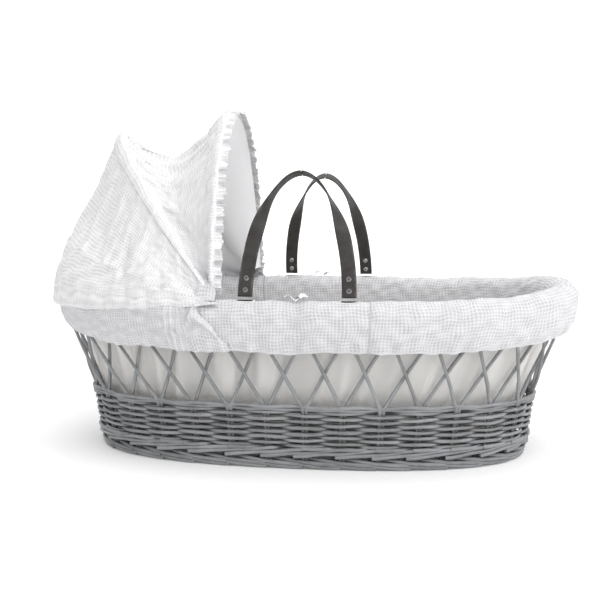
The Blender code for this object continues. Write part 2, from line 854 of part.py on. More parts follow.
def cloth_panel(name, rows, parts):
    """A sheet through rows of points, given its thickness on its outer side."""
    sheet = loft(name, rows, parts, closed_row=False)
    thick = sheet.modifiers.new("thickness", "SOLIDIFY")
    thick.thickness = CLOTH_THICK
    thick.offset = 0.0
    return finish(sheet, cotton(name))


def cloth_line(top, half_y, power):
    """The line that a hoop's cloth follows, just outside the wire."""
    return hoop_line(top, half_y, power, CLOTH_STEPS, CLOTH_START, CLOTH_CLEAR)


def make_top_panel(parts):
    """Between the two hoops, slack in the middle."""
    rear = [point + Vector((TOP_FROM_REAR, 0, 0)) for point in cloth_line(*REAR_HOOP)]
    front = [point - Vector((TOP_FROM_FRONT, 0, 0)) for point in cloth_line(*FRONT_HOOP)]
    rows = []
    for j in range(TOP_LEVELS + 1):
        share = j / TOP_LEVELS
        slack = math.sin(math.pi * share)
        row = []
        for i, (a, b) in enumerate(zip(rear, front)):
            at = a.lerp(b, share)
            turn = CLOTH_START + (math.pi - 2 * CLOTH_START) * i / CLOTH_STEPS
            at.z -= SAG * slack * math.sin(turn) ** 1.5
            at.y *= 1 - WAIST * slack
            row.append(at)
        rows.append(row)
    cloth_panel("hood_top_panel", rows, parts)


def make_back_panel(parts):
    """From the rear hoop down and out over the head end, then in to the skirt's top edge."""
    first, last = (step / AROUND for step in SKIRT_STEPS)
    rows = [[] for _ in range(BACK_LEVELS + 2)]
    for i, hoop_point in enumerate(cloth_line(*REAR_HOOP)):
        share = last + (first - last) * i / CLOTH_STEPS
        seam = on_wall(share, SEAM_OFFSET, COVER[6][1])
        proud = BULGE[0] + BULGE[1] * end_share(seam.x)
        bulge = seam + outward(share) * proud + Vector((0, 0, BULGE_HEIGHT))
        top = hoop_point - Vector((BACK_FROM_REAR, 0, 0))
        for j in range(BACK_LEVELS + 1):
            rows[j].append(top.lerp(bulge, j / BACK_LEVELS))
        rows[BACK_LEVELS + 1].append(seam + Vector((0, 0, SEAM_CLEAR)))
    cloth_panel("hood_back_panel", rows, parts)


def make_frill(parts):
    """A gathered strip that stands forward of the front hoop."""
    rows = []
    for ahead in (FRILL_AHEAD, FRILL_AHEAD + FRILL_WIDTH / 2, FRILL_AHEAD + FRILL_WIDTH):
        rows.append([point + Vector((ahead, 0, 0)) for point in cloth_line(*FRONT_HOOP)])
    cloth_panel("hood_frill", rows, parts)


def main():
    clear_scene()
    parts = collection("moses_basket")
    cutters = collection("cutters")
    make_base(parts)
    make_woven_rings(parts)
    make_stakes(parts)
    make_liner(parts)
    make_mattress(parts)
    make_cover(parts, cutters)
    make_skirt(parts)
    make_ties(parts)
    make_anchor_loops(parts)
    make_handles(parts, cutters)
    make_hoop("rear_hoop", *REAR_HOOP, parts, cutters)
    make_hoop("front_hoop", *FRONT_HOOP, parts, cutters)
    make_prongs(parts, cutters)
    make_top_panel(parts)
    make_back_panel(parts)
    make_frill(parts)


main()
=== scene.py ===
"""Moses basket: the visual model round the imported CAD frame. Metres, +Z up, head at -X, near side at -Y."""
import math

import bpy
import numpy as np
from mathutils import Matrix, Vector


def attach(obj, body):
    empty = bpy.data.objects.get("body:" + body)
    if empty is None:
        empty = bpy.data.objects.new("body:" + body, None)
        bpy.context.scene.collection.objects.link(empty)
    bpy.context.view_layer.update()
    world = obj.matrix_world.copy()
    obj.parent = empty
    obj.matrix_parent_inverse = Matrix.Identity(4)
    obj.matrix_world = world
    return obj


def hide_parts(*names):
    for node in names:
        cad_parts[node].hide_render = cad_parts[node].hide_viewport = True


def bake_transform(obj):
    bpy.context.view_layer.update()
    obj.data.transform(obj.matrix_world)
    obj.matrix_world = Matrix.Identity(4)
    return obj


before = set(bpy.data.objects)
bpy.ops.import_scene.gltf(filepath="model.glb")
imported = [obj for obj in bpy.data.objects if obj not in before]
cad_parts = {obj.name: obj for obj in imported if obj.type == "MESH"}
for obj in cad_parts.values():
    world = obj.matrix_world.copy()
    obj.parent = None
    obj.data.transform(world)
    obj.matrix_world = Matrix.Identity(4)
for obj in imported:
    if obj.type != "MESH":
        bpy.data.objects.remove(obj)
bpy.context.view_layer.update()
RANDOM = np.random.RandomState(7)

# ---------------------------------------------------------------- the plan outline, as in the CAD source
PLAN_POWER = 2.5
OUT_Z = np.array((0.000, 0.102, 0.160, 0.215, 0.245))
OUT_X = np.array((0.358, 0.374, 0.392, 0.4115, 0.417))
OUT_Y = np.array((0.176, 0.191, 0.2005, 0.2105, 0.2125))
MID_X, MID_Y = 0.392, 0.2005
RIM_RISE, RISE_FROM, RISE_TO = 0.017, 0.200, 0.245
HEM_RISE = 0.016
RIM_Z = 0.245
RIM_MIDDLE = -0.0065  # middle of the rim, outwards from the wicker's face
STEPS = 56
ROUND = 2.03  # length of the outline at mid height


def power(value, exponent):
    return np.sign(value) * np.abs(value) ** exponent


def superellipse(half_x, half_y, turn):
    c, s = np.cos(turn), np.sin(turn)
    return half_x * power(c, 2 / PLAN_POWER), half_y * power(s, 2 / PLAN_POWER)


TURNS = np.linspace(0, 2 * math.pi, 2881)
_X, _Y = superellipse(MID_X, MID_Y, TURNS)
_AT = np.concatenate(([0], np.cumsum(np.hypot(np.diff(_X), np.diff(_Y)))))
SHARES = _AT / _AT[-1]


def turn_at(share):
    return np.interp(np.mod(share, 1.0), SHARES, TURNS)


def outward(share):
    x, y = superellipse(MID_X, MID_Y, turn_at(share))
    nx = power(x / MID_X, PLAN_POWER - 1) / MID_X
    ny = power(y / MID_Y, PLAN_POWER - 1) / MID_Y
    size = np.hypot(nx, ny)
    return np.stack((nx / size, ny / size, np.zeros_like(nx)), -1)


def ring_shares(count):
    return np.arange(count) / count


def smooth(value):
    held = np.clip(value, 0, 1)
    return held * held * (3 - 2 * held)


def end_share(x):
    return np.minimum(np.abs(x) / OUT_X[-1], 1.0) ** 4


def wall(share, offset, z, lift=0.0):
    """Points at these shares of the way round, this far outside the wicker's face, at these heights."""
    share, offset, z, lift = np.broadcast_arrays(*(np.asarray(v, float) for v in (share, offset, z, lift)))
    half_x, half_y = np.interp(z, OUT_Z, OUT_X), np.interp(z, OUT_Z, OUT_Y)
    x, y = superellipse(half_x, half_y, turn_at(share))
    out = outward(share)
    x, y = x + out[..., 0] * offset, y + out[..., 1] * offset
    rise = RIM_RISE * smooth((z - RISE_FROM) / (RISE_TO - RISE_FROM))
    return np.stack((x, y, z + end_share(x) * (rise + HEM_RISE * lift)), -1)


def side_share(x, side):
    """The share of the way round of a place on a long side."""
    shares = np.linspace(0.5, 1.0, 2001) if side < 0 else np.linspace(0.5, 0.0, 2001)
    return float(np.interp(x, wall(shares, 0.0, RIM_Z)[:, 0], shares))


def rim_point(x, side):
    return wall(side_share(x, side), RIM_MIDDLE, RIM_Z)


# ---------------------------------------------------------------- meshes from arrays
def unit(v):
    return v / np.maximum(np.linalg.norm(v, axis=-1, keepdims=True), 1e-12)


def distances(points):
    """How far along a line each of its points is."""
    return np.concatenate(([0], np.cumsum(np.linalg.norm(np.diff(points, axis=0), axis=1))))


def quick_mesh(name, vertices, quads, extra=(), attributes=()):
    """An object from arrays: quads is n x 4, extra is a list of other faces, attributes is (name, values)."""
    mesh = bpy.data.meshes.new(name)
    mesh.vertices.add(len(vertices))
    mesh.vertices.foreach_set("co", np.asarray(vertices, np.float32).ravel())
    loops = [np.asarray(quads, np.int32).ravel()] + [np.asarray(face, np.int32) for face in extra]
    sizes = [4] * len(quads) + [len(face) for face in extra]
    flat = np.concatenate(loops)
    mesh.loops.add(len(flat))
    mesh.loops.foreach_set("vertex_index", flat)
    mesh.polygons.add(len(sizes))
    mesh.polygons.foreach_set("loop_start", np.concatenate(([0], np.cumsum(sizes)[:-1])).astype(np.int32))
    mesh.update(calc_edges=True)
    mesh.validate()
    for label, values in attributes:
        values = np.asarray(values, np.float32)
        kind = "FLOAT" if values.ndim == 1 else "FLOAT_VECTOR"
        made = mesh.attributes.new(label, kind, "POINT")
        made.data.foreach_set("value" if kind == "FLOAT" else "vector", values.ravel())
    mesh.shade_smooth()
    obj = bpy.data.objects.new(name, mesh)
    bpy.context.scene.collection.objects.link(obj)
    return obj


def grid_quads(rows, cols, closed_rows=False, closed_cols=False, first=0):
    i = np.arange(rows if closed_rows else rows - 1)
    j = np.arange(cols if closed_cols else cols - 1)
    i, j = np.meshgrid(i, j, indexing="ij")
    a, b = i * cols + j, i * cols + (j + 1) % cols
    c, d = ((i + 1) % rows) * cols + (j + 1) % cols, ((i + 1) % rows) * cols + j
    return np.stack((a, b, c, d), -1).reshape(-1, 4) + first


def grid_normals(points, closed_cols=False):
    """Unit normals of a grid of points, rows by columns."""
    along = np.gradient(points, axis=0)
    if closed_cols:
        wide = np.concatenate((points[:, -1:], points, points[:, :1]), 1)
        across = (wide[:, 2:] - wide[:, :-2]) / 2
    else:
        across = np.gradient(points, axis=1)
    return unit(np.cross(across, along))


def spline(points, count, along=None):
    """Evenly spaced samples of a smooth curve through rows of points (rows x anything)."""
    points = np.asarray(points, float)
    flat = points.reshape(len(points), -1)
    if along is None:
        along = distances(flat[:, :2])
    slope = np.empty_like(flat)
    slope[1:-1] = (flat[2:] - flat[:-2]) / (along[2:] - along[:-2])[:, None]
    slope[0] = (flat[1] - flat[0]) / (along[1] - along[0])
    slope[-1] = (flat[-1] - flat[-2]) / (along[-1] - along[-2])
    at = np.linspace(along[0], along[-1], count)
    k = np.clip(np.searchsorted(along, at, side="right") - 1, 0, len(along) - 2)
    h = (along[k + 1] - along[k])[:, None]
    t = ((at - along[k]) / (along[k + 1] - along[k]))[:, None]
    a, b = flat[k], flat[k + 1]
    made = (
        (1 + 2 * t) * (1 - t) ** 2 * a
        + t * (1 - t) ** 2 * h * slope[k]
        + t * t * (3 - 2 * t) * b
        + t * t * (t - 1) * h * slope[k + 1]
    )
    return made.reshape((count,) + points.shape[1:])


def wavy(x, waves, seed, low, high, whole=False):
    """A smooth random curve: a sum of sines with periods between low and high, or whole numbers of waves."""
    made = np.random.RandomState(seed)
    x = np.asarray(x, float)
    total = np.zeros_like(x)
    for _ in range(waves):
        turns = made.randint(low, high + 1) * x if whole else x / made.uniform(low, high)
        total += np.sin(2 * math.pi * (turns + made.uniform()))
    return total / math.sqrt(waves / 2)


def round_wavy(share, waves, seed, low, high):
    """The same for a closed ring: low and high are how many waves go round."""
    return wavy(share, waves, seed, low, high, True)


class Rods:
    """Collects round rods into one mesh."""

    def __init__(self):
        self.vertices, self.quads, self.caps, self.count = [], [], [], 0
        self.marks = {"rod_at": [], "tone": [], "deep": []}

    def add(self, path, radius, up=(0, 0, 1), closed=False, sides=10, bumps=0.04, deep=0.0):
        path = np.asarray(path, float)
        count, at, seed = len(path), distances(path), RANDOM.randint(1 << 30)
        if closed:
            ahead = unit(np.roll(path, -1, 0) - np.roll(path, 1, 0))
            rough = round_wavy(ring_shares(count), 5, seed, 8, 60)
        else:
            ahead = unit(np.gradient(path, axis=0))
            rough = wavy(at, 5, seed, 0.03, 0.2)
        up = np.broadcast_to(up, path.shape)
        first = unit(up - ahead * np.sum(up * ahead, -1, keepdims=True))
        second = np.cross(ahead, first)
        radius = radius * (1 + bumps * rough)
        angle = 2 * math.pi * np.arange(sides) / sides
        ring = first[:, None] * np.cos(angle)[:, None] + second[:, None] * np.sin(angle)[:, None]
        points = path[:, None] + ring * radius[:, None, None]
        base = self.count
        self.quads.append(grid_quads(count, sides, closed, True, base)[:, ::-1])
        if not closed:
            self.caps += [base + np.arange(sides), base + (count - 1) * sides + np.arange(sides)[::-1]]
        coords = np.empty((count, sides, 3))
        coords[..., 0] = at[:, None] + RANDOM.uniform(0, 50)
        coords[..., 1] = angle[None] * 0.003
        coords[..., 2] = RANDOM.uniform(0, 50)
        self.vertices.append(points.reshape(-1, 3))
        self.marks["rod_at"].append(coords.reshape(-1, 3))
        self.marks["tone"].append(np.full(count * sides, RANDOM.uniform(-1, 1)))
        # deep: 0 to 1 for how far a rod sits inside the weave; the willow look paints shade from it
        self.marks["deep"].append(np.repeat(np.broadcast_to(deep, (count,)), sides))
        self.count += count * sides

    def make(self, name, look):
        marks = [(label, np.concatenate(values)) for label, values in self.marks.items()]
        obj = quick_mesh(name, np.concatenate(self.vertices), np.concatenate(self.quads), self.caps, marks)
        obj.data.set_sharp_from_angle(angle=math.radians(55))
        obj.data.materials.append(look)
        return obj


# ---------------------------------------------------------------- materials
class Look:
    """A short way to write node materials."""

    def __init__(self, name):
        self.material = bpy.data.materials.new(name)
        self.material.use_nodes = True
        self.tree = self.material.node_tree
        self.shader = self.tree.nodes["Principled BSDF"]

    def node(self, kind, **sets):
        made = self.tree.nodes.new(kind)
        for key, value in sets.items():
            if key.startswith("in_"):
                socket = key[3:].replace("_", " ")
                made.inputs[socket].default_value = value
            else:
                setattr(made, key, value)
        return made

    def link(self, source, target):
        self.tree.links.new(source, target)

    def feed(self, socket, value):
        """Sets a socket to a number or a colour, or links it to another node."""
        if isinstance(value, (int, float)):
            socket.default_value = value
        elif isinstance(value, tuple):
            socket.default_value = (*value, 1.0)
        else:
            self.link(value, socket)

    def attribute(self, name, output="Fac"):
        return self.node("ShaderNodeAttribute", attribute_name=name).outputs[output]

    def place(self):
        return self.node("ShaderNodeTexCoord").outputs["Object"]

    def math(self, operation, a, b):
        made = self.node("ShaderNodeMath", operation=operation)
        self.feed(made.inputs[0], a)
        self.feed(made.inputs[1], b)
        return made.outputs[0]

    def scaled(self, source, scale):
        made = self.node("ShaderNodeMapping")
        made.inputs["Scale"].default_value = scale
        self.link(source, made.inputs["Vector"])
        return made.outputs["Vector"]

    def noise(self, vector, scale, detail=2.0, rough=0.5):
        made = self.node("ShaderNodeTexNoise", in_Scale=scale, in_Detail=detail, in_Roughness=rough)
        self.link(vector, made.inputs["Vector"])
        return made.outputs["Fac"]

    def ramp(self, factor, *stops):
        made = self.node("ShaderNodeValToRGB")
        elements = made.color_ramp.elements
        while len(elements) < len(stops):
            elements.new(0.5)
        for element, (at, colour) in zip(elements, stops):
            element.position = at
            element.color = (*colour, 1.0)
        self.link(factor, made.inputs["Fac"])
        return made.outputs["Color"]

    def mix(self, factor, a, b):
        made = self.node("ShaderNodeMix", data_type="RGBA")
        for index, value in ((0, factor), (6, a), (7, b)):
            self.feed(made.inputs[index], value)
        return made.outputs[2]

    def spread(self, value, low, high, new_low, new_high):
        made = self.node("ShaderNodeMapRange")
        self.link(value, made.inputs["Value"])
        for label, number in zip(("From Min", "From Max", "To Min", "To Max"), (low, high, new_low, new_high)):
            made.inputs[label].default_value = number
        return made.outputs["Result"]

    def bump(self, height, strength, distance):
        made = self.node("ShaderNodeBump", in_Strength=strength, in_Distance=distance)
        self.link(height, made.inputs["Height"])
        self.link(made.outputs["Normal"], self.shader.inputs["Normal"])

    def set(self, **values):
        for key, value in values.items():
            self.shader.inputs[key.replace("_", " ")].default_value = value

    def to(self, socket, source):
        self.link(source, self.shader.inputs[socket])


def willow_look():
    look = Look("grey_painted_willow")
    at = look.attribute("rod_at", "Vector")
    tone = look.attribute("tone")
    grain = look.noise(look.scaled(at, (45, 1500, 1)), 1.0, 3.0, 0.6)
    patches = look.noise(look.place(), 34.0, 3.0, 0.6)
    colour = look.ramp(
        patches, (0.30, (0.215, 0.216, 0.217)), (0.50, (0.285, 0.293, 0.304)), (0.72, (0.335, 0.347, 0.365))
    )
    colour = look.mix(look.spread(grain, 0.35, 0.75, 0.0, 0.45), colour, (0.120, 0.118, 0.117))
    # painted shade: where deep is high (a rod sunk into the weave, behind stakes or rows) the colour is
    # darkened almost to black, standing in for the shade between the rods
    deep = look.spread(look.attribute("deep"), 0.0, 1.0, 0.0, 0.82)
    colour = look.mix(deep, colour, (0.03, 0.03, 0.031))
    shade = look.spread(tone, -1.0, 1.0, 0.84, 1.14)
    made = look.node("ShaderNodeVectorMath", operation="SCALE")
    look.link(colour, made.inputs[0])
    look.link(shade, made.inputs["Scale"])
    look.to("Base Color", made.outputs[0])
    look.to("Roughness", look.spread(patches, 0.3, 0.7, 0.40, 0.58))
    look.bump(look.math("ADD", grain, look.math("MULTIPLY", patches, 0.7)), 0.55, 0.0006)
    look.set(Specular_IOR_Level=0.5)
    return look.material


def waffle_look(name, colour, pit):
    """Honeycomb cotton. The attribute relief is 1 on the raised threads and 0 in the pits; the pits are painted
    darker, pit times the colour, as painted shade.
    """
    look = Look(name)
    at = look.attribute("cloth_at", "Vector")
    relief = look.attribute("relief")
    thread = look.noise(look.scaled(at, (900, 900, 1)), 1.0, 2.0, 0.6)
    lint = look.noise(look.place(), 60.0, 4.0, 0.6)
    # painted shade: the colour goes from the threads' colour down to pit times it in the pits
    low = tuple(pit * c for c in colour)
    shade = look.mix(relief, low, colour)
    shade = look.mix(look.spread(lint, 0.35, 0.7, 0.0, 0.10), shade, tuple(0.9 * c for c in colour))
    look.to("Base Color", shade)
    look.to("Roughness", look.spread(thread, 0.2, 0.8, 0.82, 0.97))
    ribs = look.node("ShaderNodeTexWave", wave_type="BANDS", bands_direction="X", in_Scale=90.0)
    look.link(at, ribs.inputs["Vector"])
    look.bump(look.math("ADD", look.math("MULTIPLY", thread, 0.8), ribs.outputs["Fac"]), 0.30, 0.0004)
    look.set(Sheen_Weight=0.25, Sheen_Roughness=0.5, Specular_IOR_Level=0.25)
    return look.material


def plain_look(name, colour, dull, thread_size=0.0007, strength=0.35):
    """Plain-woven cotton: two sets of threads across each other, with slubs."""
    look = Look(name)
    at = look.attribute("cloth_at", "Vector")
    waves = []
    for direction in ("X", "Y"):
        wave = look.node(
            "ShaderNodeTexWave", wave_type="BANDS", bands_direction=direction,
            in_Scale=0.314 / thread_size, in_Distortion=0.6, in_Detail=1.0,
        )
        look.link(at, wave.inputs["Vector"])
        waves.append(wave.outputs["Fac"])
    weave = look.math("MULTIPLY", *waves)
    slub = look.noise(look.scaled(at, (40, 700, 1)), 1.0, 3.0, 0.6)
    soft = look.noise(look.place(), 18.0, 3.0, 0.6)
    shade = look.mix(look.spread(slub, 0.40, 0.75, 0.0, 0.35), colour, dull)
    shade = look.mix(look.spread(soft, 0.35, 0.70, 0.0, 0.30), shade, dull)
    look.to("Base Color", shade)
    look.to("Roughness", look.spread(slub, 0.2, 0.8, 0.80, 0.95))
    look.bump(look.math("ADD", weave, look.math("MULTIPLY", slub, 0.6)), strength, 0.0003)
    look.set(Sheen_Weight=0.2, Sheen_Roughness=0.5, Specular_IOR_Level=0.25)
    return look.material


def leather_look():
    look = Look("grey_brown_leather")
    at = look.place()
    edge = look.attribute("edge")
    cells = look.node("ShaderNodeTexVoronoi", feature="F1", in_Scale=760.0)
    look.link(at, cells.inputs["Vector"])
    fine = look.noise(at, 1900.0, 2.0, 0.5)
    cloud = look.noise(at, 42.0, 4.0, 0.65)
    colour = look.ramp(
        cloud, (0.28, (0.026, 0.023, 0.021)), (0.52, (0.040, 0.036, 0.034)), (0.78, (0.058, 0.053, 0.049))
    )
    colour = look.mix(look.spread(edge, 0.55, 1.0, 0.0, 0.75), colour, (0.030, 0.027, 0.025))
    rubbed = look.spread(edge, 0.35, 0.60, 0.0, 1.0)
    worn = look.math("MULTIPLY", rubbed, look.spread(cloud, 0.45, 0.65, 0.0, 0.5))
    colour = look.mix(worn, colour, (0.150, 0.138, 0.128))
    look.to("Base Color", colour)
    look.to("Roughness", look.spread(cloud, 0.3, 0.7, 0.56, 0.44))
    height = look.math("ADD", cells.outputs["Distance"], look.math("MULTIPLY", fine, 0.5))
    look.bump(height, 0.45, 0.0004)
    look.set(Specular_IOR_Level=0.35)
    return look.material


def metal_look(name, colour, low_rough, high_rough, scale, grain):
    look = Look(name)
    at = look.place()
    smudge = look.noise(at, scale, 3.0, 0.6)
    lines = look.noise(look.scaled(at, grain), 1.0, 2.0, 0.5)
    dull = tuple(0.72 * c for c in colour)
    look.to("Base Color", look.mix(look.spread(smudge, 0.3, 0.75, 0.0, 0.5), colour, dull))
    look.to("Roughness", look.spread(smudge, 0.3, 0.7, low_rough, high_rough))
    look.bump(lines, 0.12, 0.0002)
    look.set(Metallic=1.0)
    return look.material


# ---------------------------------------------------------------- wicker
PAIRS = 32
PAIR_SHIFT = 0.196
PITCH = 1.0 / PAIRS
STAKE_MIDDLE = -0.0064
FEET = (np.arange(PAIRS) + PAIR_SHIFT) * PITCH


def jitter(size):
    """A random amount, up to this much either way."""
    return size * RANDOM.uniform(-1, 1)


def along(start, end):
    """Shares of the way round from start to end, about 5 mm apart."""
    return np.linspace(start, end, max(int((end - start) * ROUND / 0.005), 6))


def make_stakes(look):
    """A pair of upright stakes through the weave at each foot, which lean apart above it and cross."""
    rods = Rods()
    spread = 0.0029 / ROUND
    z = np.concatenate((np.linspace(0.012, 0.096, 13), np.linspace(0.101, 0.2125, 24), (0.222,)))
    climb = np.clip((z - 0.0985) / (0.2135 - 0.0985), 0, 1)
    # painted shade: the stakes' lower parts inside the woven rows are marked for darkening
    deep = 0.7 * smooth((0.094 - z) / 0.006)
    for foot in FEET:
        for lean in (1, -1):
            over = climb + jitter(0.010) * np.sin(math.pi * climb)
            top = 1.0 + jitter(0.035)
            share = foot + lean * (spread * (1 - over) + over * top * PITCH)
            apart = -lean * (0.0006 + 0.0030 * smooth(over * 3))
            bow = jitter(0.0012) * np.sin(math.pi * over)
            radius = 0.00295 - 0.0005 * over * RANDOM.uniform(0.3, 1.0)
            rods.add(wall(share, STAKE_MIDDLE + apart + bow, z), radius, outward(share), deep=deep)
    return rods.make("lattice_stakes", look)


def make_weave(look):
    """Rows that pass in front of one pair of stakes and behind the next, two smooth rods on top of them."""
    rods = Rods()
    share = ring_shares(448)
    turn = (share / PITCH - PAIR_SHIFT) * math.pi
    for row in range(12):
        swing = power(np.cos(turn + row * math.pi), 0.72)
        z = 0.0368 + row * 0.00502 + 0.0005 * round_wavy(share, 6, 100 + row, 5, 40) + jitter(0.0006)
        offset = -0.0066 + 0.0047 * swing + 0.0004 * round_wavy(share, 4, 300 + row, 4, 30)
        radius = 0.00262 + 0.00022 * round_wavy(share, 3, 500 + row, 1, 5)
        # painted shade: the rows' stretches behind the stakes are marked for darkening
        deep = smooth((-0.0052 - offset) / 0.0058)
        rods.add(wall(share, offset, z), radius, closed=True, sides=9, bumps=0.03, deep=deep)
    for level, (middle, radius) in enumerate(((0.0966, 0.0026), (0.1008, 0.0029))):
        swing = power(np.cos(turn + level * math.pi), 0.8)
        z = middle + 0.0008 * round_wavy(share, 5, 70 + level, 6, 30)
        offset = -0.0042 + 0.0026 * swing * (1 if level else -1)
        rods.add(wall(share, offset, z), radius, closed=True, bumps=0.03)
    return rods.make("wall_weave_rods", look)


def make_wale(look):
    """Long slanting rods low on the wall, each rising to the right, with thick blunt ends."""
    rods = Rods()
    for index, foot in enumerate(FEET):
        start = foot - (0.22 + jitter(0.10)) * PITCH
        share = along(start, start + 3.0 * PITCH)
        t = (share - start) / PITCH
        z = 0.0208 + 0.0135 * np.clip(t / 2.35, 0, 1) + 0.0004 * wavy(share * ROUND, 4, 900 + index, 0.05, 0.2)
        inside = smooth((t - 2.30) / 0.45)
        ripple = 0.0008 * np.cos((share / PITCH - PAIR_SHIFT) * 2 * math.pi)
        offset = -0.0012 + ripple - 0.0100 * inside + 0.0008 * np.clip(1 - t, 0, 1)
        radius = 0.0033 - 0.0009 * np.clip(t / 3, 0, 1)
        # painted shade: the wale rods' stretches that pass inside the wall are marked for darkening
        rods.add(wall(share, offset, z), radius, deep=smooth((-0.003 - offset) / 0.006))
        if RANDOM.uniform() < 0.8:
            start = foot + (-0.12 + jitter(0.05)) * PITCH
            share = along(start, start + 1.25 * PITCH)
            t = (share - start) / PITCH
            offset = 0.0004 - 0.0098 * smooth((t - 0.55) / 0.5)
            rods.add(wall(share, offset, 0.0340 + 0.0006 * t), 0.0031 - 0.0006 * t)
    return rods.make("lower_wale_rods", look)


def make_foot(look):
    """Pairs of rods that slant down to the right round the foot, each cut off blunt at its low end."""
    rods = Rods()
    for foot in FEET:
        for level in (1, -1):
            start = foot - 0.30 * PITCH
            length = 2.16 + jitter(0.05) + (0.05 if level < 0 else 0.0)
            share = along(start, start + length * PITCH)
            t = (share - start) / (length * PITCH)
            z = 0.0148 - 0.0085 * smooth(t * 1.02) + level * 0.0027
            offset = -0.0105 + 0.0078 * smooth(t * 1.6) + 0.0004 * level
            radius = 0.00285 + 0.00025 * t
            path = wall(share, offset, np.maximum(z, radius + 0.0002))
            # painted shade: the foot rods' stretches set inside the wall are marked for darkening
            rods.add(path, radius, deep=smooth((-0.005 - offset) / 0.005))
    return rods.make("foot_border_rods", look)


def make_border(look):
    """The plaited border under the cover."""
    rods = Rods()
    share = ring_shares(400)
    for strand in range(3):
        phase = 2 * math.pi * (share * PAIRS + strand / 3)
        path = wall(share, -0.0062 + 0.0030 * np.sin(phase), 0.2225 + 0.0036 * np.sin(2 * phase))
        rods.add(path, 0.0030, closed=True, sides=8, bumps=0.05)
    return rods.make("border_plait", look)


def make_rim(look):
    rods = Rods()
    rods.add(wall(ring_shares(320), -0.0062, 0.2393), 0.0052, closed=True, sides=12, bumps=0.02)
    return rods.make("rim_rod_round", look)


def make_base_weave(look):
    """Flat oval weave of the base over crosswise sticks."""
    rods = Rods()
    sticks, rings = np.linspace(-0.28, 0.28, 11), 22
    half_x, half_y, middle = 0.3425, 0.1605, 0.0045
    for x in sticks:
        reach = half_y * (1 - (abs(x) / half_x) ** PLAN_POWER) ** (1 / PLAN_POWER)
        path = [(x, y, middle) for y in np.linspace(-reach, reach, 20)]
        rods.add(path, 0.0026, sides=8, bumps=0.05)
    turn = 2 * math.pi * np.arange(200) / 200
    for ring in range(rings):
        inset = half_y * (1 - (ring + 0.6) / rings)
        x, y = superellipse(half_x - inset, half_y - inset, turn)
        wave = np.cos(math.pi * (x - sticks[0]) / (sticks[1] - sticks[0]) + ring * math.pi)
        rods.add(np.stack((x, y, middle + 0.0013 * wave), -1), 0.0030, closed=True, sides=6, bumps=0.05)
    return rods.make("base_weave", look)


# ---------------------------------------------------------------- cloth
CELL, HOOD_CELL, STRIP_CELL = 0.0052, 0.0047, 0.0050
WAFFLE_DEPTH, HOOD_DEPTH = 0.0015, 0.0011
FULLNESS = 1.05  # length of cloth over length of outline
# name, side, x of the left and right foot, lean of the middle
HANDLES = (("front", -1, -0.075, 0.080, 0.055), ("back", 1, -0.061, 0.081, 0.075))


def crinkle(u, v, seed, low=0.02, high=0.08, waves=7):
    """A smooth uneven field over a cloth: waves in all directions, with periods between low and high."""
    made = np.random.RandomState(seed)
    total = np.zeros(np.broadcast(u, v).shape)
    for _ in range(waves):
        period, turn = made.uniform(low, high), made.uniform(0, math.pi)
        total += np.sin(2 * math.pi * ((u * math.cos(turn) + v * math.sin(turn)) / period + made.uniform()))
    return total / math.sqrt(waves / 2)


def waffle(u, v, cell):
    """1 on the ridges of the honeycomb, 0 in the middle of a pit. u and v are metres on the cloth."""
    u, v = u + 0.0008 * crinkle(u, v, 201), v + 0.0008 * crinkle(u, v, 202)
    pit = (np.abs(np.sin(math.pi * u / cell)) * np.abs(np.sin(math.pi * v / cell))) ** 0.8
    return 1 - pit * np.clip(0.84 + 0.13 * crinkle(u, v, 203, 0.006, 0.03), 0.3, 1.0)


def cloth_coords(points):
    """Distances across and down a grid, each averaged over the other way."""
    steps = [np.linalg.norm(np.diff(points, axis=axis), axis=-1).mean(axis=1 - axis) for axis in (0, 1)]
    down, across = (np.concatenate(([0], np.cumsum(step))) for step in steps)
    return across[None], down[:, None]


def cloth_object(name, points, relief, u, v, look, closed_cols=False, keep=None):
    """A sheet from a grid of points; keep says which faces stay, from their middles."""
    rows, cols = points.shape[:2]
    quads = grid_quads(rows, cols, False, closed_cols)
    at = np.stack(np.broadcast_arrays(u, v, np.zeros((rows, cols))), -1).reshape(-1, 3)
    vertices, relief = points.reshape(-1, 3), np.broadcast_to(relief, (rows, cols)).ravel()
    if keep is not None:
        used, quads = np.unique(quads[keep(vertices[quads].mean(1))], return_inverse=True)
        quads, vertices, at, relief = quads.reshape(-1, 4), vertices[used], at[used], relief[used]
    obj = quick_mesh(name, vertices, quads, (), (("cloth_at", at), ("relief", relief)))
    obj.data.materials.append(look)
    return obj


def capped_tube(name, points, marks, look):
    """Rings of points, one beyond another, closed at both ends."""
    rows, cols = points.shape[:2]
    caps = [np.arange(cols)[::-1], (rows - 1) * cols + np.arange(cols)]
    obj = quick_mesh(name, points.reshape(-1, 3), grid_quads(rows, cols, False, True), caps, marks)
    obj.data.materials.append(look)
    return obj


COVER = (  # outwards from the wicker, height, share of the hem's rise at the ends
    (0.0025, 0.2040, 0.6),
    (0.0035, 0.1930, 0.9),
    (0.0052, 0.1872, 1.0),
    (0.0085, 0.1890, 0.97),
    (0.0128, 0.2050, 0.5),
    (0.0145, 0.2260, 0.1),
    (0.0125, 0.2460, 0.0),
    (0.0050, 0.2588, 0.0),
    (-0.0070, 0.2643, 0.0),
    (-0.0190, 0.2608, 0.0),
    (-0.0268, 0.2500, 0.0),
    (-0.0278, 0.2300, 0.0),
    (-0.0255, 0.2130, 0.0),
    (-0.0232, 0.2085, 0.0),
    (-0.0205, 0.2110, 0.0),
    (-0.0185, 0.2200, 0.0),
)
COVER_SEAM = 45 / STEPS
SLIT_HALF = (0.0132, 0.0036)


def end_trim(share):
    """The cloth lies closer to the wicker at the head end, and is fuller at the foot end."""
    x, _ = superellipse(MID_X, MID_Y, turn_at(share))
    return -0.0075 * smooth((-x - 0.20) / 0.17) + 0.0070 * smooth((x - 0.27) / 0.12)


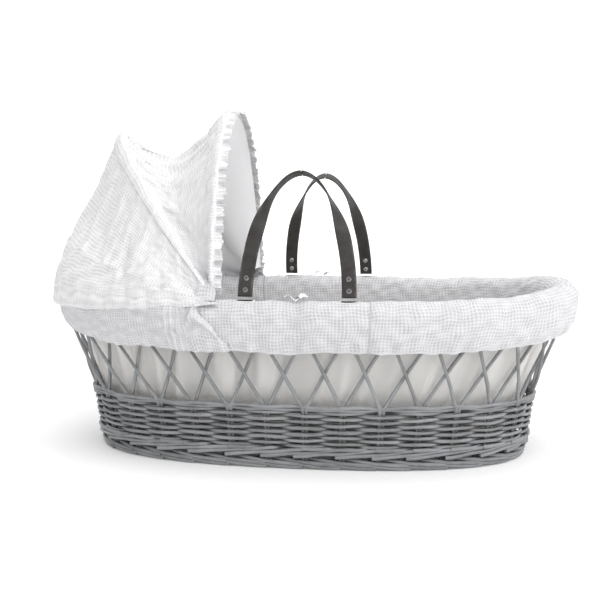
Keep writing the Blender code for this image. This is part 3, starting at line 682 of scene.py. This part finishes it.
def cover_shape(share, offset, z, lift):
    """Where the padded cover's surface is, with its soft unevenness."""
    puff = 0.0016 * round_wavy(share, 7, 21, 3, 18) + 0.0008 * round_wavy(share, 6, 22, 18, 46)
    outer = smooth((offset + 0.004) / 0.014)
    sag = 0.0009 * round_wavy(share, 5, 23, 4, 15) * smooth((0.225 - z) / 0.035)
    fold = 0.0011 * round_wavy(share, 6, 24, 40, 90) * smooth((0.216 - z) / 0.02)
    trim = end_trim(share) * smooth((offset + 0.012) / 0.014)
    return wall(share, offset + trim + (puff + fold) * (0.35 + 0.65 * outer), z + sag + 0.4 * puff, lift)


def slit_places():
    """The middle of each slit that a strap passes through."""
    return [(x, float(rim_point(x, side)[1])) for _, side, left, right, _ in HANDLES for x in (left, right)]


def outside_slits(middle):
    good = np.ones(len(middle), bool)
    for x, y in slit_places():
        inside = (np.abs(middle[:, 0] - x) < SLIT_HALF[0]) & (np.abs(middle[:, 1] - y) < SLIT_HALF[1])
        good &= ~(inside & (middle[:, 2] > 0.25))
    return good


def make_cover(look):
    """The padded cover over the rim, with its hems, four seams and slits."""
    cols, rows = ((1640, 136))
    section = spline(COVER, rows)
    share = ring_shares(cols)[None]
    points = cover_shape(share, *(section[:, k][:, None] for k in range(3)))
    u, v = share * ROUND * FULLNESS, cloth_coords(points)[1]
    hem = smooth((v - 0.020) / 0.004) * smooth((v[-1] - 0.020 - v) / 0.004)
    relief = waffle(u + 0.0012 * wavy(v, 3, 5, 0.05, 0.2), v, CELL) * hem + (1 - hem) * 0.8
    lift = WAFFLE_DEPTH * relief + 0.0005 * crinkle(u, v, 204, 0.010, 0.034)
    for seam in range(4):
        away = np.abs((share - COVER_SEAM + seam * 0.25 + 0.5) % 1.0 - 0.5) * ROUND
        lift = lift - 0.0018 * np.exp(-((away / 0.0016) ** 2)) + 0.0010 * np.exp(-((away / 0.006) ** 2))
        # painted shade: the colour is darkened along each seam's groove, by lowering relief there only
        relief = relief * (1 - 0.5 * np.exp(-((away / 0.002) ** 2)))
    lift = lift - 0.0009 * np.exp(-(((v - 0.0262) / 0.0012) ** 2)) - WAFFLE_DEPTH * 0.6
    points = points - grid_normals(points, True) * lift[..., None]
    return cloth_object("padded_cover", points, relief, u, v, look, True, outside_slits)


def make_slit_bindings(look):
    """A bound edge round each slit, as a thin stitched roll."""
    rods = Rods()
    turn = 2 * math.pi * np.arange(48) / 48
    for x, y in slit_places():
        side = np.sign(y)
        px = x + (SLIT_HALF[0] + 0.0008) * power(np.cos(turn), 0.35)
        py = y + (SLIT_HALF[1] + 0.0008) * power(np.sin(turn), 0.7)
        share = np.array([side_share(a, side) for a in px])
        offset = (py - wall(share, 0.0, RIM_Z)[:, 1]) * side
        z = np.interp(offset, (-0.019, -0.007, 0.005), (0.2608, 0.2640, 0.2588))
        rods.add(np.stack((px, py, z + 0.0006), -1), 0.0010, closed=True, sides=8, bumps=0.08)
    return rods.make("slit_bindings", look)


LINER = (  # outwards from the wicker, height
    (-0.0215, 0.013),
    (-0.0200, 0.060),
    (-0.0185, 0.100),
    (-0.0160, 0.150),
    (-0.0150, 0.205),
    (-0.0165, 0.232),
)


def make_liner(look):
    """Plain cloth inside the wicker, hanging in soft upright folds."""
    section = spline(LINER, 56)
    share = ring_shares(760)[None]
    z = section[:, 1][:, None]
    deep = smooth((z - 0.060) / 0.06) * smooth((0.240 - z) / 0.04)
    fold = 0.0030 * power(round_wavy(share + 0.004 * np.sin(z * 24), 7, 41, 24, 60), 0.85)
    fold = fold + 0.0022 * round_wavy(share + 0.012 * (z - 0.1), 5, 42, 10, 26)
    offset = section[:, 0][:, None] - 0.0045 * deep + np.clip(fold, -0.006, 0.0045) * (0.25 + 0.75 * deep)
    points = wall(share, np.minimum(offset, -0.0150), z)
    return cloth_object("cotton_liner", points, 1.0, share * ROUND, z, look, True)


PAD_LOW, PAD_HIGH = 0.0092, 0.0505
PAD_EDGE = (  # height, outwards
    (PAD_LOW, -0.006),
    (0.0100, -0.001),
    (0.016, 0.0035),
    (0.030, 0.0045),
    (0.044, 0.0025),
    (0.0485, -0.003),
    (PAD_HIGH, -0.010),
)


def make_mattress(look):
    """A flat pad with a soft crown and a piped edge."""
    section = spline(PAD_EDGE, 28)
    share = ring_shares(160)
    side = wall(share[None], -0.0285 + section[:, 1][:, None], section[:, 0][:, None])
    bottom, crown = [], []
    for k in range(1, 8):
        ring = side[0] * (k / 8, k / 8, 1)
        ring[:, 2] = PAD_LOW
        bottom.append(ring)
    for k in range(1, 26):
        t = 1 - k / 26
        ring = side[-1] * (t, t, 1)
        ring[:, 2] = PAD_HIGH + 0.0045 * smooth((1 - t) * 3) + 0.0006 * round_wavy(share, 4, 61, 2, 6) * t
        ring[:, 2] += 0.0009 * np.sin(ring[:, 0] * 38) * np.cos(ring[:, 1] * 45) * smooth((1 - t) * 4)
        crown.append(ring)
    points = np.array([*bottom, *side, *crown])
    vertices = points.reshape(-1, 3)
    marks = (("cloth_at", vertices), ("relief", np.ones(len(vertices))))
    return capped_tube("mattress_pad", points, marks, look)


# ---------------------------------------------------------------- hood
PIVOT_X, PIVOT_Z = -0.130, 0.2730
REAR_HOOP = ((-0.325, 0.517), 0.1885, 1.5)
FRONT_HOOP = ((-0.132, 0.555), 0.1832, 2.0)
CLOTH_CLEAR = 0.0042
CLOTH_START = 0.030
WAIST = 0.10
SKIRT = (17 / STEPS, 39 / STEPS)
COLS = 40
HOOD_TURNS = np.linspace(CLOTH_START, math.pi - CLOTH_START, COLS + 1)
HOOD_MIDDLE = np.array((-0.2, 0.0, 0.33))
SETTLE_COLS, SETTLE_FRAMES = 84, 24


def hoop_line(hoop, turns, grow):
    """A hoop's line, grown outwards; near the pivots it grows more, to clear the pins' heads."""
    (top_x, top_z), half_y, roundness = hoop
    rise = np.array((top_x - PIVOT_X, 0.0, top_z - PIVOT_Z))
    rise = rise * (1 + grow / np.linalg.norm(rise))
    clear = grow + (0.0065 * (1 - smooth(np.sin(turns) / 0.45)) if grow > 0 else 0.0)
    y = -power(np.cos(turns), 2 / roundness) * (half_y + clear)
    h = np.abs(np.sin(turns)) ** (2 / roundness)
    return np.stack((PIVOT_X + rise[0] * h, y, PIVOT_Z + rise[2] * h), -1)


def top_panel_shape():
    """Coarse grid between the hoops: level off the rear hoop, down to a sharp valley, up to the front one."""
    rear, front = (hoop_line(hoop, HOOD_TURNS, CLOTH_CLEAR) for hoop in (REAR_HOOP, FRONT_HOOP))
    high = np.sin(HOOD_TURNS) ** 1.4
    rows = []
    for t in np.linspace(0, 1, 25):
        at = rear * (1 - t) + front * t
        sag = np.interp(t, (0, 0.13, 0.30, 0.46, 0.60, 0.80, 1), (0, 0.003, 0.038, 0.061, 0.040, 0.010, 0))
        at[:, 2] -= sag * high
        at[:, 1] *= 1 - WAIST * math.sin(math.pi * t)
        rows.append(at)
    return np.array(rows)


def hood_seam(share):
    """Where the hood's back panel is sewn to its band: low round the head end, high towards the pivots."""
    x = wall(share, 0.0, RIM_Z)[:, 0]
    z = np.interp(x, (-0.40, -0.235, -0.155, -0.110), (0.2280, 0.2440, 0.2535, 0.2600))
    offset = np.interp(x, (-0.235, -0.155, -0.110), (0.0170, 0.0135, 0.0095))
    return wall(share, offset + end_trim(share), z)


def back_panel_shape():
    """Coarse grid from the rear hoop down over the head end to the band's seam."""
    rear = hoop_line(REAR_HOOP, HOOD_TURNS, CLOTH_CLEAR)
    share = np.linspace(SKIRT[1], SKIRT[0], COLS + 1)
    seam, out, up = hood_seam(share), outward(share), np.array((0, 0, 1.0))
    behind = end_share(seam[:, 0])[:, None]
    full = smooth(np.sin(HOOD_TURNS) / 0.42)[:, None]
    bulge = seam + out * (0.004 * full + 0.010 * behind) + up * (0.022 * full + 0.012 * behind)
    key = [rear]
    for t, belly in ((0.2, 0.006), (0.4, 0.008), (0.6, 0.006), (0.8, 0.002), (0.94, 0.0)):
        key.append(rear * (1 - t) + bulge * t + out * belly * behind)
    key.append(seam + out * (0.004 * full + 0.010 * behind) + up * 0.011 * full)
    key.append(seam + out * 0.001 + up * 0.001)
    return spline(key, 36, np.array((0, 0.2, 0.4, 0.6, 0.8, 0.94, 0.97, 1.0)))


def refine(grid, rows, cols):
    """The same surface with more points each way."""
    up = spline(grid, rows, np.linspace(0, 1, len(grid)))
    return np.swapaxes(spline(np.swapaxes(up, 0, 1), cols, np.linspace(0, 1, grid.shape[1])), 0, 1)


def settle_cloth(name, shape, rows, slack, held_rows):
    """Lets a panel hang under its own weight between its sewn edges, with a little spare cloth."""
    grid = refine(shape, rows, SETTLE_COLS)
    obj = quick_mesh(name, grid.reshape(-1, 3), grid_quads(rows, SETTLE_COLS))
    index = np.arange(rows * SETTLE_COLS).reshape(rows, SETTLE_COLS)
    edges = (index[:2], index[-held_rows:], index[:, :2], index[:, -2:])
    held = np.unique(np.concatenate([edge.ravel() for edge in edges]))
    obj.vertex_groups.new(name="sewn").add(held.tolist(), 1.0, "REPLACE")
    cloth = obj.modifiers.new("settle", "CLOTH")
    cloth.settings.quality = 6
    cloth.settings.mass = 0.25
    cloth.settings.air_damping = 2.0
    cloth.settings.tension_stiffness = cloth.settings.compression_stiffness = 18.0
    cloth.settings.shear_stiffness = 8.0
    cloth.settings.bending_stiffness = 3.0
    cloth.settings.shrink_min = -slack
    cloth.settings.vertex_group_mass = "sewn"
    cloth.point_cache.frame_start, cloth.point_cache.frame_end = 1, SETTLE_FRAMES
    scene = bpy.context.scene
    for frame_number in range(1, SETTLE_FRAMES + 1):
        scene.frame_set(frame_number)
    hung = obj.evaluated_get(bpy.context.evaluated_depsgraph_get()).to_mesh()
    settled = np.empty(len(hung.vertices) * 3, np.float32)
    hung.vertices.foreach_get("co", settled)
    bpy.data.objects.remove(obj)
    scene.frame_set(1)
    return settled.reshape(rows, SETTLE_COLS, 3).astype(float)


def polar_blend(obj):
    """Bakes a sheet's placement into its mesh."""
    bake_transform(obj)


def outward_normals(points):
    """Normals of one of the hood's sheets, away from the hood's middle."""
    normals = grid_normals(points)
    return -normals if np.mean(np.sum(normals * (points - HOOD_MIDDLE), -1)) < 0 else normals


def hood_cloth(name, shape, rows, cols, look, wrinkle, lining=0.0):
    """A fine sheet from a coarse shape, with waffle on the outer side, or a lining this far inside."""
    s, q = np.linspace(0, 1, rows)[:, None], np.linspace(0, 1, cols)[None]
    points = refine(shape, rows, cols)
    points = points + outward_normals(points) * (wrinkle(s, q) - lining)[..., None]
    u, v = cloth_coords(points)
    if lining:
        return cloth_object(name, points, 1.0, u, v, look)
    relief = waffle(u, v, HOOD_CELL)
    high = HOOD_DEPTH * (relief - 0.5) + 0.0004 * crinkle(u, v, 205, 0.012, 0.04)
    return cloth_object(name, points + outward_normals(points) * high[..., None], relief, u, v, look)


def back_wrinkle(s, q):
    edge = smooth((s - 0.06) * 8) * smooth((1 - s) * 8)
    down = 0.0040 * np.sin(2 * math.pi * (3.6 * q + 0.8 * s + 0.2)) * smooth((s - 0.10) / 0.5)
    fine = 0.0010 * np.sin(2 * math.pi * (13.0 * q + 2.3 * np.sin(3 * s))) * smooth((s - 0.55) / 0.3)
    gather = 0.0020 * np.sin(2 * math.pi * 21 * q) * smooth((s - 0.86) / 0.10)
    hollow = 0.0
    for side in (q, 1 - q):
        for at, lean, deep, low, high in ((0.215, 0.07, 0.0075, 0.35, 0.85), (0.125, 0.05, 0.0060, 0.45, 0.95)):
            reach = smooth((s - low) / 0.2) * smooth((high - s) / 0.15)
            hollow = hollow - deep * reach * np.exp(-(((side - at + lean * (s - 0.6)) / 0.012) ** 2))
    return (down + fine + hollow) * edge + gather * smooth((1 - s) * 20)


def top_wrinkle(s, q):
    edge = smooth((s - 0.09) * 7) * smooth((0.84 - s) * 7)
    pull = 0.0035 * np.sin(2 * math.pi * (3.4 * q + 0.5 * np.sin(2.2 * s)))
    fine = 0.0014 * np.sin(2 * math.pi * (9.0 * q + 1.3 * s))
    return (pull + fine) * edge


def lining_wrinkle(s, q):
    return 0.0010 * np.sin(2 * math.pi * (4 * q + 0.7 * s)) * smooth(s * 6) * smooth((1 - s) * 6)


def smooth_rows(points, times):
    for _ in range(times):
        points[1:-1] = (points[:-2] + 2 * points[1:-1] + points[2:]) / 4
    return points


def smooth_sheet(points):
    points = smooth_rows(points.copy(), 4)
    return np.swapaxes(smooth_rows(np.swapaxes(points, 0, 1).copy(), 8), 0, 1)


def hood_strip(name, shape, body, look, weights=None):
    """A narrow band of waffle sewn over the panels along a hoop."""
    rows, cols = ((40, 620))
    points = refine(shape, rows, cols)
    a = np.linspace(-1, 1, rows)[:, None]
    u, v = cloth_coords(points)
    relief = waffle(u, v, STRIP_CELL) * smooth((1 - np.abs(a)) / 0.16)
    pucker = 0.0005 * np.sin(2 * math.pi * u / 0.0115) * (1 - a * a)
    high = 0.0006 + 0.0014 * (1 - np.abs(a) ** 5) + 0.0009 * relief + pucker
    obj = cloth_object(name, points + outward_normals(points) * high[..., None], relief, u, v, look)
    if weights is None:
        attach(obj, body)
    else:
        polar_blend(obj)


def make_strips(look, back, top):
    """The bands over both hoops; the front one turns in under the hood's opening."""
    fine_back, fine_top = refine(back, 60, COLS + 1), refine(top, 60, COLS + 1)
    ridge = smooth_rows(np.concatenate((fine_back[4:0:-1], fine_top[:6])), 1)
    hood_strip("rear_hoop_sleeve", ridge, "hood_rear", look)
    hoop = hoop_line(FRONT_HOOP, HOOD_TURNS, 0.0001)
    turned = [
        hoop_line(FRONT_HOOP, HOOD_TURNS, 0.0030) + (0.0030, 0, 0),
        hoop + (0.0038, 0, 0),
        hoop * (1, 0.985, 1) + (0.0030, 0, -0.004),
    ]
    weights = np.concatenate((np.linspace(50 / 59, 1, 10), (1, 1, 1)))
    cuff = np.concatenate((fine_top[50:], np.array(turned)))
    hood_strip("front_hoop_sleeve", cuff, "hood_front", look, weights)


def make_hood(waffle_cloth, lining):
    """Both panels, settled as cloth, with the bands over the hoops and a lining inside."""
    fine = 1.0
    back = settle_cloth("back_settling", back_panel_shape(), 44, 0.004, 13)
    top = settle_cloth("top_settling", top_panel_shape(), 30, 0.005, 2)
    make_strips(waffle_cloth, back, top)
    rows, cols = int(230 * fine), int(520 * fine)
    obj = hood_cloth("hood_back_cloth", back, rows, cols, waffle_cloth, back_wrinkle)
    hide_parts("hood_back_panel")
    polar_blend(obj)
    rows = int(140 * fine)
    obj = hood_cloth("hood_top_cloth", top, rows, cols, waffle_cloth, top_wrinkle)
    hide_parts("hood_top_panel")
    polar_blend(obj)
    rows, cols = 60, 130
    for name, shape, bodies, low, high, area in (
        ("hood_back_lining", back, ("basket", "hood_rear"), 1, 0, 0.150),
        ("hood_top_lining", top, ("hood_rear", "hood_front"), 0, 1, 0.105),
    ):
        obj = hood_cloth(name, smooth_sheet(shape), rows, cols, lining, lining_wrinkle, 0.011)
        polar_blend(obj)


def make_frill(look):
    """A gathered strip along the hood's opening; its free edge waves more than its sewn one."""
    cols, rows = ((1500, 12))
    turns = np.linspace(0.012, math.pi - 0.012, cols)
    line = hoop_line(FRONT_HOOP, turns, 0.0030)
    line[:, 2] -= 0.0050 * np.exp(-((np.sin(turns) / 0.06) ** 2))
    ahead = unit(np.gradient(line, axis=0))
    forward = np.array((1.0, 0.0, 0.0))
    out = unit(np.cross(forward, ahead))
    out = out * np.sign(np.sum(out * (line - np.array((PIVOT_X, 0, PIVOT_Z))), -1, keepdims=True))
    at = distances(line)
    phase = 2 * math.pi * (at / 0.0058 + 0.8 * wavy(at, 5, 31, 0.015, 0.06))
    tall = 1 + 0.35 * wavy(at, 5, 33, 0.02, 0.09)
    uneven = wavy(at, 6, 32, 0.006, 0.03)
    points = []
    for t in np.linspace(0, 1, rows):
        wave = np.sin(phase) * (0.0006 + 0.0024 * t) * tall - 0.0020 * t * t
        shift = np.cos(phase) * 0.0013 * t
        reach = 0.0026 + 0.0140 * t + 0.0012 * t * uneven
        points.append(line + forward * reach[:, None] + out * wave[:, None] + ahead * shift[:, None])
    down = np.linspace(0, 0.014, rows)[:, None]
    obj = cloth_object("gathered_frill", np.array(points), 1.0, at * 1.8, down, look)
    file_piece(obj, "frill_cotton", "hood_front", "hood_frill")


BAND = (  # as COVER, but up to a tab beside each pivot
    (0.0068, 0.1985, 0.85),
    (0.0078, 0.1872, 1.0),
    (0.0108, 0.1868, 1.0),
    (0.0166, 0.2050, 0.5),
    (0.0188, 0.2260, 0.1),
    (0.0180, 0.2440, 0.0),
    (0.0140, 0.2540, 0.0),
    (0.0080, 0.2620, 0.0),
    (0.0010, 0.2700, 0.0),
    (-0.0050, 0.2790, 0.0),
    (-0.0085, 0.2890, 0.0),
)


def make_skirt(look):
    """The hood's lower band over the cover: slanting rolled ends, gathers beside them, tabs to the pivots."""
    cols, rows = ((860, 76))
    samples = 200
    section = spline(BAND, samples)
    t, q = np.linspace(0, 1, rows)[:, None], np.linspace(0, 1, cols)[None]
    middle, half = (SKIRT[0] + SKIRT[1]) / 2, (SKIRT[1] - SKIRT[0]) / 2 + 0.006
    slant = half * (1 - 0.10 * smooth((t - 0.30) / 0.34) + 0.055 * smooth((t - 0.66) / 0.2))
    share = middle + slant * (2 * q - 1)
    x = wall(share, 0.0, RIM_Z)[..., 0]
    reach = 0.735 + 0.265 * np.exp(-(((x - PIVOT_X + 0.006) / 0.020) ** 4))
    at = t * reach * (samples - 1)
    offset, z, lift = (np.interp(at, np.arange(samples), section[:, k]) for k in range(3))
    near_end = slant * (1 - np.abs(2 * q - 1)) * ROUND
    settle = smooth(near_end / 0.012)
    high = smooth((z - 0.258) / 0.006)
    roll = 0.0038 * np.exp(-(((near_end - 0.010) / 0.0065) ** 2)) * (1 - high)
    gather = np.exp(-(((x + 0.181) / 0.017) ** 2)) * (1 - 0.7 * high)
    folds = 0.0019 * gather * np.sin(2 * math.pi * x / 0.0088 + 0.5 * np.sin(z * 50))
    puff = 0.0013 * round_wavy(share, 6, 81, 6, 20) + 0.0008 * round_wavy(share, 5, 82, 20, 44)
    hem = smooth((0.215 - z) / 0.03)
    offset = offset - 0.0050 * (1 - settle) * (1 - high) + roll + 0.0012 + np.maximum(puff, -0.0008)
    shape = cover_shape(share, offset + folds * (0.5 + 0.5 * hem), z, lift)
    u, v = share * ROUND * FULLNESS, cloth_coords(shape)[1]
    relief = waffle(u, v, HOOD_CELL)
    raised = 0.0012 * (relief - 0.4) + 0.0004 * crinkle(u, v, 206, 0.010, 0.034)
    return cloth_object("hood_band", shape - grid_normals(shape) * raised[..., None], relief, u, v, look)


# ---------------------------------------------------------------- handles
STRAP_WIDTH, STRAP_THICK = 0.022, 0.0025
TAIL_LENGTH, TAIL_ROUND = 0.040, 0.003
TAIL_NARROWS = (0.955, 0.90, 0.82)
AXIS_Z, RISE, ARCH_POWER = 0.2690, 0.1835, 1.9
FOOT_Z = 0.0012  # above the axis
STRAP_COUNT = 161


def strap_lines(side, left, right, lean):
    """Middle line, direction, width direction and height along the strap, as in the CAD source."""
    middle, half = (left + right) / 2, (right - left) / 2
    y_foot = np.mean([float(rim_point(x, side)[1]) for x in (left, right)])
    up = np.array((0.0, -side * lean, RISE))
    height = np.linalg.norm(up)
    up = up / height
    face = unit(np.cross((1.0, 0.0, 0.0), up))
    turns = math.pi * np.linspace(0, 1, STRAP_COUNT)
    h = np.abs(np.sin(turns)) ** (2 / ARCH_POWER)
    place = np.array((middle, y_foot, AXIS_Z + FOOT_Z)) + up * ((height - FOOT_Z) * h)[:, None]
    place[:, 0] -= half * power(np.cos(turns), 2 / ARCH_POWER)
    ahead = np.gradient(place, axis=0)
    ahead[0], ahead[-1] = up, -up
    ahead = unit(ahead)
    twist = smooth((h - 0.35) / 0.55) * math.pi / 2
    sense = np.where(np.arange(STRAP_COUNT) <= STRAP_COUNT // 2, 1.0, -1.0)
    flat = unit(np.cross(face, ahead))
    width = flat * np.cos(twist)[:, None] + face * (sense * np.sin(twist))[:, None]
    width[0], width[-1] = width[1], width[-2]
    return place, ahead, width, h * height


def make_strap(name, place, ahead, width, thick, wide, look, narrow=1.0):
    """A strap along a line, with rounded corners and slightly domed faces."""
    normal = unit(np.cross(ahead, width))
    half_w, half_t, r = wide / 2, thick / 2, thick * 0.36
    outline = []
    for cx, cy, start in ((1, 1, 0), (-1, 1, 90), (-1, -1, 180), (1, -1, 270)):
        for a in (0, 30, 60, 90):
            angle = math.radians(start + a)
            outline.append((cx * (half_w - r) + r * math.cos(angle), cy * (half_t - r) + r * math.sin(angle)))
        if cx == cy:
            outline += [(cx * half_w * k, cy * (half_t + 0.00015)) for k in (0.6, 0.2, -0.2, -0.6)]
    across, through = np.array(outline).T[..., None]
    edge = np.clip((np.abs(across[:, 0]) - (half_w - 0.0035)) / 0.0035, 0, 1)
    across = across * np.broadcast_to(narrow, len(place))[:, None, None]
    points = place[:, None] + width[:, None] * across + normal[:, None] * through
    marks = (("edge", np.broadcast_to(edge, points.shape[:2]).ravel()),)
    obj = capped_tube(name, points, marks, look)
    obj.data.set_sharp_from_angle(angle=math.radians(50))
    return obj


def make_handles(look):
    """Two straps, whose ends are doubled back on the outside as far as the rivets."""
    top = TAIL_LENGTH - TAIL_ROUND
    rounded = top + TAIL_ROUND * np.sin(np.radians((30, 60, 90)))
    heights = np.concatenate((np.linspace(FOOT_Z, top, 14), rounded))
    narrow = np.concatenate((np.ones(14), TAIL_NARROWS))
    legs = (("left", slice(0, 60)), ("right", slice(STRAP_COUNT - 1, STRAP_COUNT - 61, -1)))
    for name, side, *shape in HANDLES:
        place, ahead, width, high = strap_lines(side, *shape)
        normal = unit(np.cross(ahead, width))
        inwards = np.sign(normal[2, 1]) * side * 0.00125 * smooth((0.075 - high) / 0.030)
        centre = place - normal * inwards[:, None]
        strap = make_strap(f"strap_{name}", centre, ahead, width, STRAP_THICK, STRAP_WIDTH, look)
        file_piece(strap, "strap_leather", f"carry_{name}", f"handle_{name}")
        for end, leg in legs:
            p, a, w, n = (
                np.stack([np.interp(heights, high[leg], line[leg][:, k]) for k in range(3)], -1)
                for line in (place, ahead, width, normal)
            )
            a, w, n = unit(a), unit(w), unit(n)
            p = p + n * np.sign(n[2, 1]) * side * 0.00128
            tail_name = f"strap_tail_{name}_{end}"
            tail = make_strap(tail_name, p, a, w, STRAP_THICK * 0.98, STRAP_WIDTH - 0.0004, look, narrow)
            file_piece(tail, "strap_leather", f"carry_{name}")


TIE_ENDS = ((-1, 0.016, 0.3), (1, 0.019, -0.4), (1, 0.011, 0.9))  # side that it leans to, reach, turn


def make_ties(look):
    """Short ends of tape that stand up from the cover between the straps' feet."""
    t, w = np.linspace(0, 1, 16), np.linspace(-1, 1, 9)[:, None]
    u, v = np.meshgrid(np.linspace(0, 0.02, 16), np.linspace(0, 0.0084, 9))
    coords = np.stack((u, v, np.zeros_like(u)), -1).reshape(-1, 3)
    for name, side in (("front", -1), ("back", 1)):
        x, y, _ = rim_point(0.0, side)
        ends = []
        for k, (lean, reach, turn) in enumerate(TIE_ENDS):
            across = unit(np.array((math.sin(turn) * 0.4, math.cos(turn), 0.25 * lean)))
            rise = 0.0075 * np.sin(math.pi * t * 0.8) + 0.0004 * k
            curl = np.stack((lean * reach * t ** 0.8, 0.003 * np.sin(3 * t + turn), rise), -1)
            tape = curl + across * w[..., None] * 0.0055
            tape[..., 2] += 0.0007 * np.sin(9 * t + 2 * w + k)
            ends.append(tape + (x, y, 0.2656))
        vertices = np.array(ends).reshape(-1, 3)
        quads = np.concatenate([grid_quads(9, 16, first=k * len(coords)) for k in range(len(ends))])
        marks = (("cloth_at", np.tile(coords, (len(ends), 1))), ("relief", np.ones(len(vertices))))
        obj = quick_mesh(f"tie_ends_{name}", vertices, quads, (), marks)
        obj.data.materials.append(look)
        file_piece(obj, "cotton_tape", "basket", f"cover_tie_{name}")


# ---------------------------------------------------------------- stage
LIGHTS = (  # name, place, aimed at, size, watts
    ("key", (1.9, -1.0, 2.8), (0.0, 0.0, 0.15), (1.4, 1.4), 27.0),
    ("front", (0.1, -2.0, 2.7), (0.0, 0.0, 0.2), (2.2, 1.2), 20.0),
    ("top", (-0.3, 0.2, 3.0), (-0.1, 0.0, 0.0), (2.6, 2.6), 25.0),
    ("fill", (1.5, -1.1, 0.8), (-0.2, 0.05, 0.36), (1.2, 0.8), 6.5),
)


def put(name, data, place, direction):
    """A lamp or camera at a place, looking in a direction."""
    obj = bpy.data.objects.new(name, data)
    obj.location = place
    obj.rotation_euler = direction.to_track_quat("-Z", "Y").to_euler()
    bpy.context.scene.collection.objects.link(obj)
    return obj


def make_floor():
    """A pale floor that curves up into a wall and glows more towards the back."""
    look = Look("pale_floor")
    fine = look.noise(look.place(), 3.0, 2.0, 0.5)
    look.to("Base Color", look.mix(fine, (0.93, 0.93, 0.93), (0.95, 0.95, 0.95)))
    look.set(Roughness=0.9, Specular_IOR_Level=0.1, Emission_Color=(1, 1, 1, 1))
    back = look.node("ShaderNodeSeparateXYZ")
    look.link(look.place(), back.inputs["Vector"])
    look.to("Emission Strength", look.spread(back.outputs["Y"], 1.0, 2.8, 0.09, 0.50))
    half, start, bend, top = 14.0, 2.5, 3.0, 12.0
    profile = [(-half, 0.0), (start, 0.0)]
    for a in np.radians(np.linspace(0, 90, 13)[1:]):
        profile.append((start + bend * math.sin(a), bend * (1 - math.cos(a))))
    profile.append((start + bend, top))
    points = np.array([[(x, y, z) for x in (-half, half)] for y, z in profile])
    floor = quick_mesh("floor", points.reshape(-1, 3), grid_quads(len(profile), 2))
    floor.data.materials.append(look.material)


def make_stage():
    make_floor()
    world = bpy.data.worlds.new("studio")
    world.use_nodes = True
    background = world.node_tree.nodes["Background"]
    background.inputs["Color"].default_value = (1.0, 1.0, 1.0, 1.0)
    background.inputs["Strength"].default_value = 0.60
    scene = bpy.context.scene
    scene.world = world
    for name, place, target, size, watts in LIGHTS:
        lamp = bpy.data.lights.new(name, "AREA")
        lamp.shape = "RECTANGLE"
        lamp.size, lamp.size_y = size
        lamp.energy = watts
        put(name, lamp, place, Vector(target) - Vector(place))
    lens = bpy.data.cameras.new("camera")
    lens.lens, lens.sensor_width, lens.clip_start = 55.6, 36.0, 0.05
    scene.camera = put("camera", lens, (0.182, -1.55, 0.427), Vector((-0.1277, 0.9848, -0.1177)))
    scene.view_settings.view_transform = "Standard"


# ---------------------------------------------------------------- everything
def file_piece(obj, slot, body, *replaced):
    """Says which body a piece rides on, and hides the CAD nodes that it stands for. The argument slot is not
    used.
    """
    if replaced:
        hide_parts(*replaced)
    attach(obj, body)


def make_wicker(look):
    for make, replaced in (
        (make_stakes, [f"stake_panel_{i:02d}" for i in range(1, 17)]),
        (make_weave, ["wall_weave"]),
        (make_wale, []),
        (make_foot, ["foot_border"]),
        (make_border, ["border_weave"]),
        (make_rim, ["rim_rod"]),
        (make_base_weave, ["base_panel"]),
    ):
        file_piece(make(look), "grey_willow", "basket", *replaced)


def dress_cad_nodes(leather, steel, chrome):
    """Looks for the CAD's own pieces that stay in view."""
    for name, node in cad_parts.items():
        if node.hide_render:
            continue
        look = steel
        if name.startswith(("rivet", "hood_pin")):
            look = chrome
        elif name.startswith("handle_loop"):
            look = leather
        for place in node.material_slots:
            place.material = look


def main():
    make_stage()
    willow = willow_look()
    # the cover and band cloth is the same waffle as the hood's, painted a darker white with darker pits (0.55
    # against 0.66) as painted shade
    cover_cloth = waffle_look("white_waffle_cover_shaded_copy", (0.76, 0.755, 0.775), 0.55)
    hood_waffle = waffle_look("white_waffle_hood", (0.87, 0.866, 0.878), 0.66)
    liner_cloth = plain_look("liner_cotton_plain", (0.74, 0.725, 0.705), (0.66, 0.645, 0.625))
    lining_cloth = plain_look("lining_cotton_plain", (0.90, 0.90, 0.915), (0.85, 0.85, 0.865))
    pad_cloth = plain_look("mattress_cotton_plain", (0.79, 0.79, 0.785), (0.74, 0.74, 0.73))
    tape = plain_look("tape_cotton", (0.86, 0.86, 0.87), (0.79, 0.79, 0.80), 0.0010, 0.5)
    leather = leather_look()
    steel = metal_look("drawn_wire_steel", (0.62, 0.62, 0.63), 0.26, 0.42, 160.0, (900, 900, 60))
    chrome = metal_look("rivet_plating", (0.36, 0.355, 0.35), 0.10, 0.22, 320.0, (900, 900, 900))

    make_wicker(willow)
    quarters = ("foot_back", "head_back", "head_front", "foot_front")
    cover = make_cover(cover_cloth)
    file_piece(cover, "waffle_cover", "basket", *[f"rim_cover_{q}" for q in quarters])
    file_piece(make_slit_bindings(tape), "cotton_tape", "basket")
    liner = make_liner(liner_cloth)
    file_piece(liner, "liner_cotton", "basket", *[f"liner_{q}" for q in quarters])
    pad = make_mattress(pad_cloth)
    file_piece(pad, "mattress_cotton", "basket", "mattress")
    band = make_skirt(cover_cloth)
    file_piece(band, "waffle_hood", "basket", "hood_skirt")
    make_hood(hood_waffle, lining_cloth)
    make_frill(tape)
    make_handles(leather)
    make_ties(tape)
    dress_cad_nodes(leather, steel, chrome)


main()
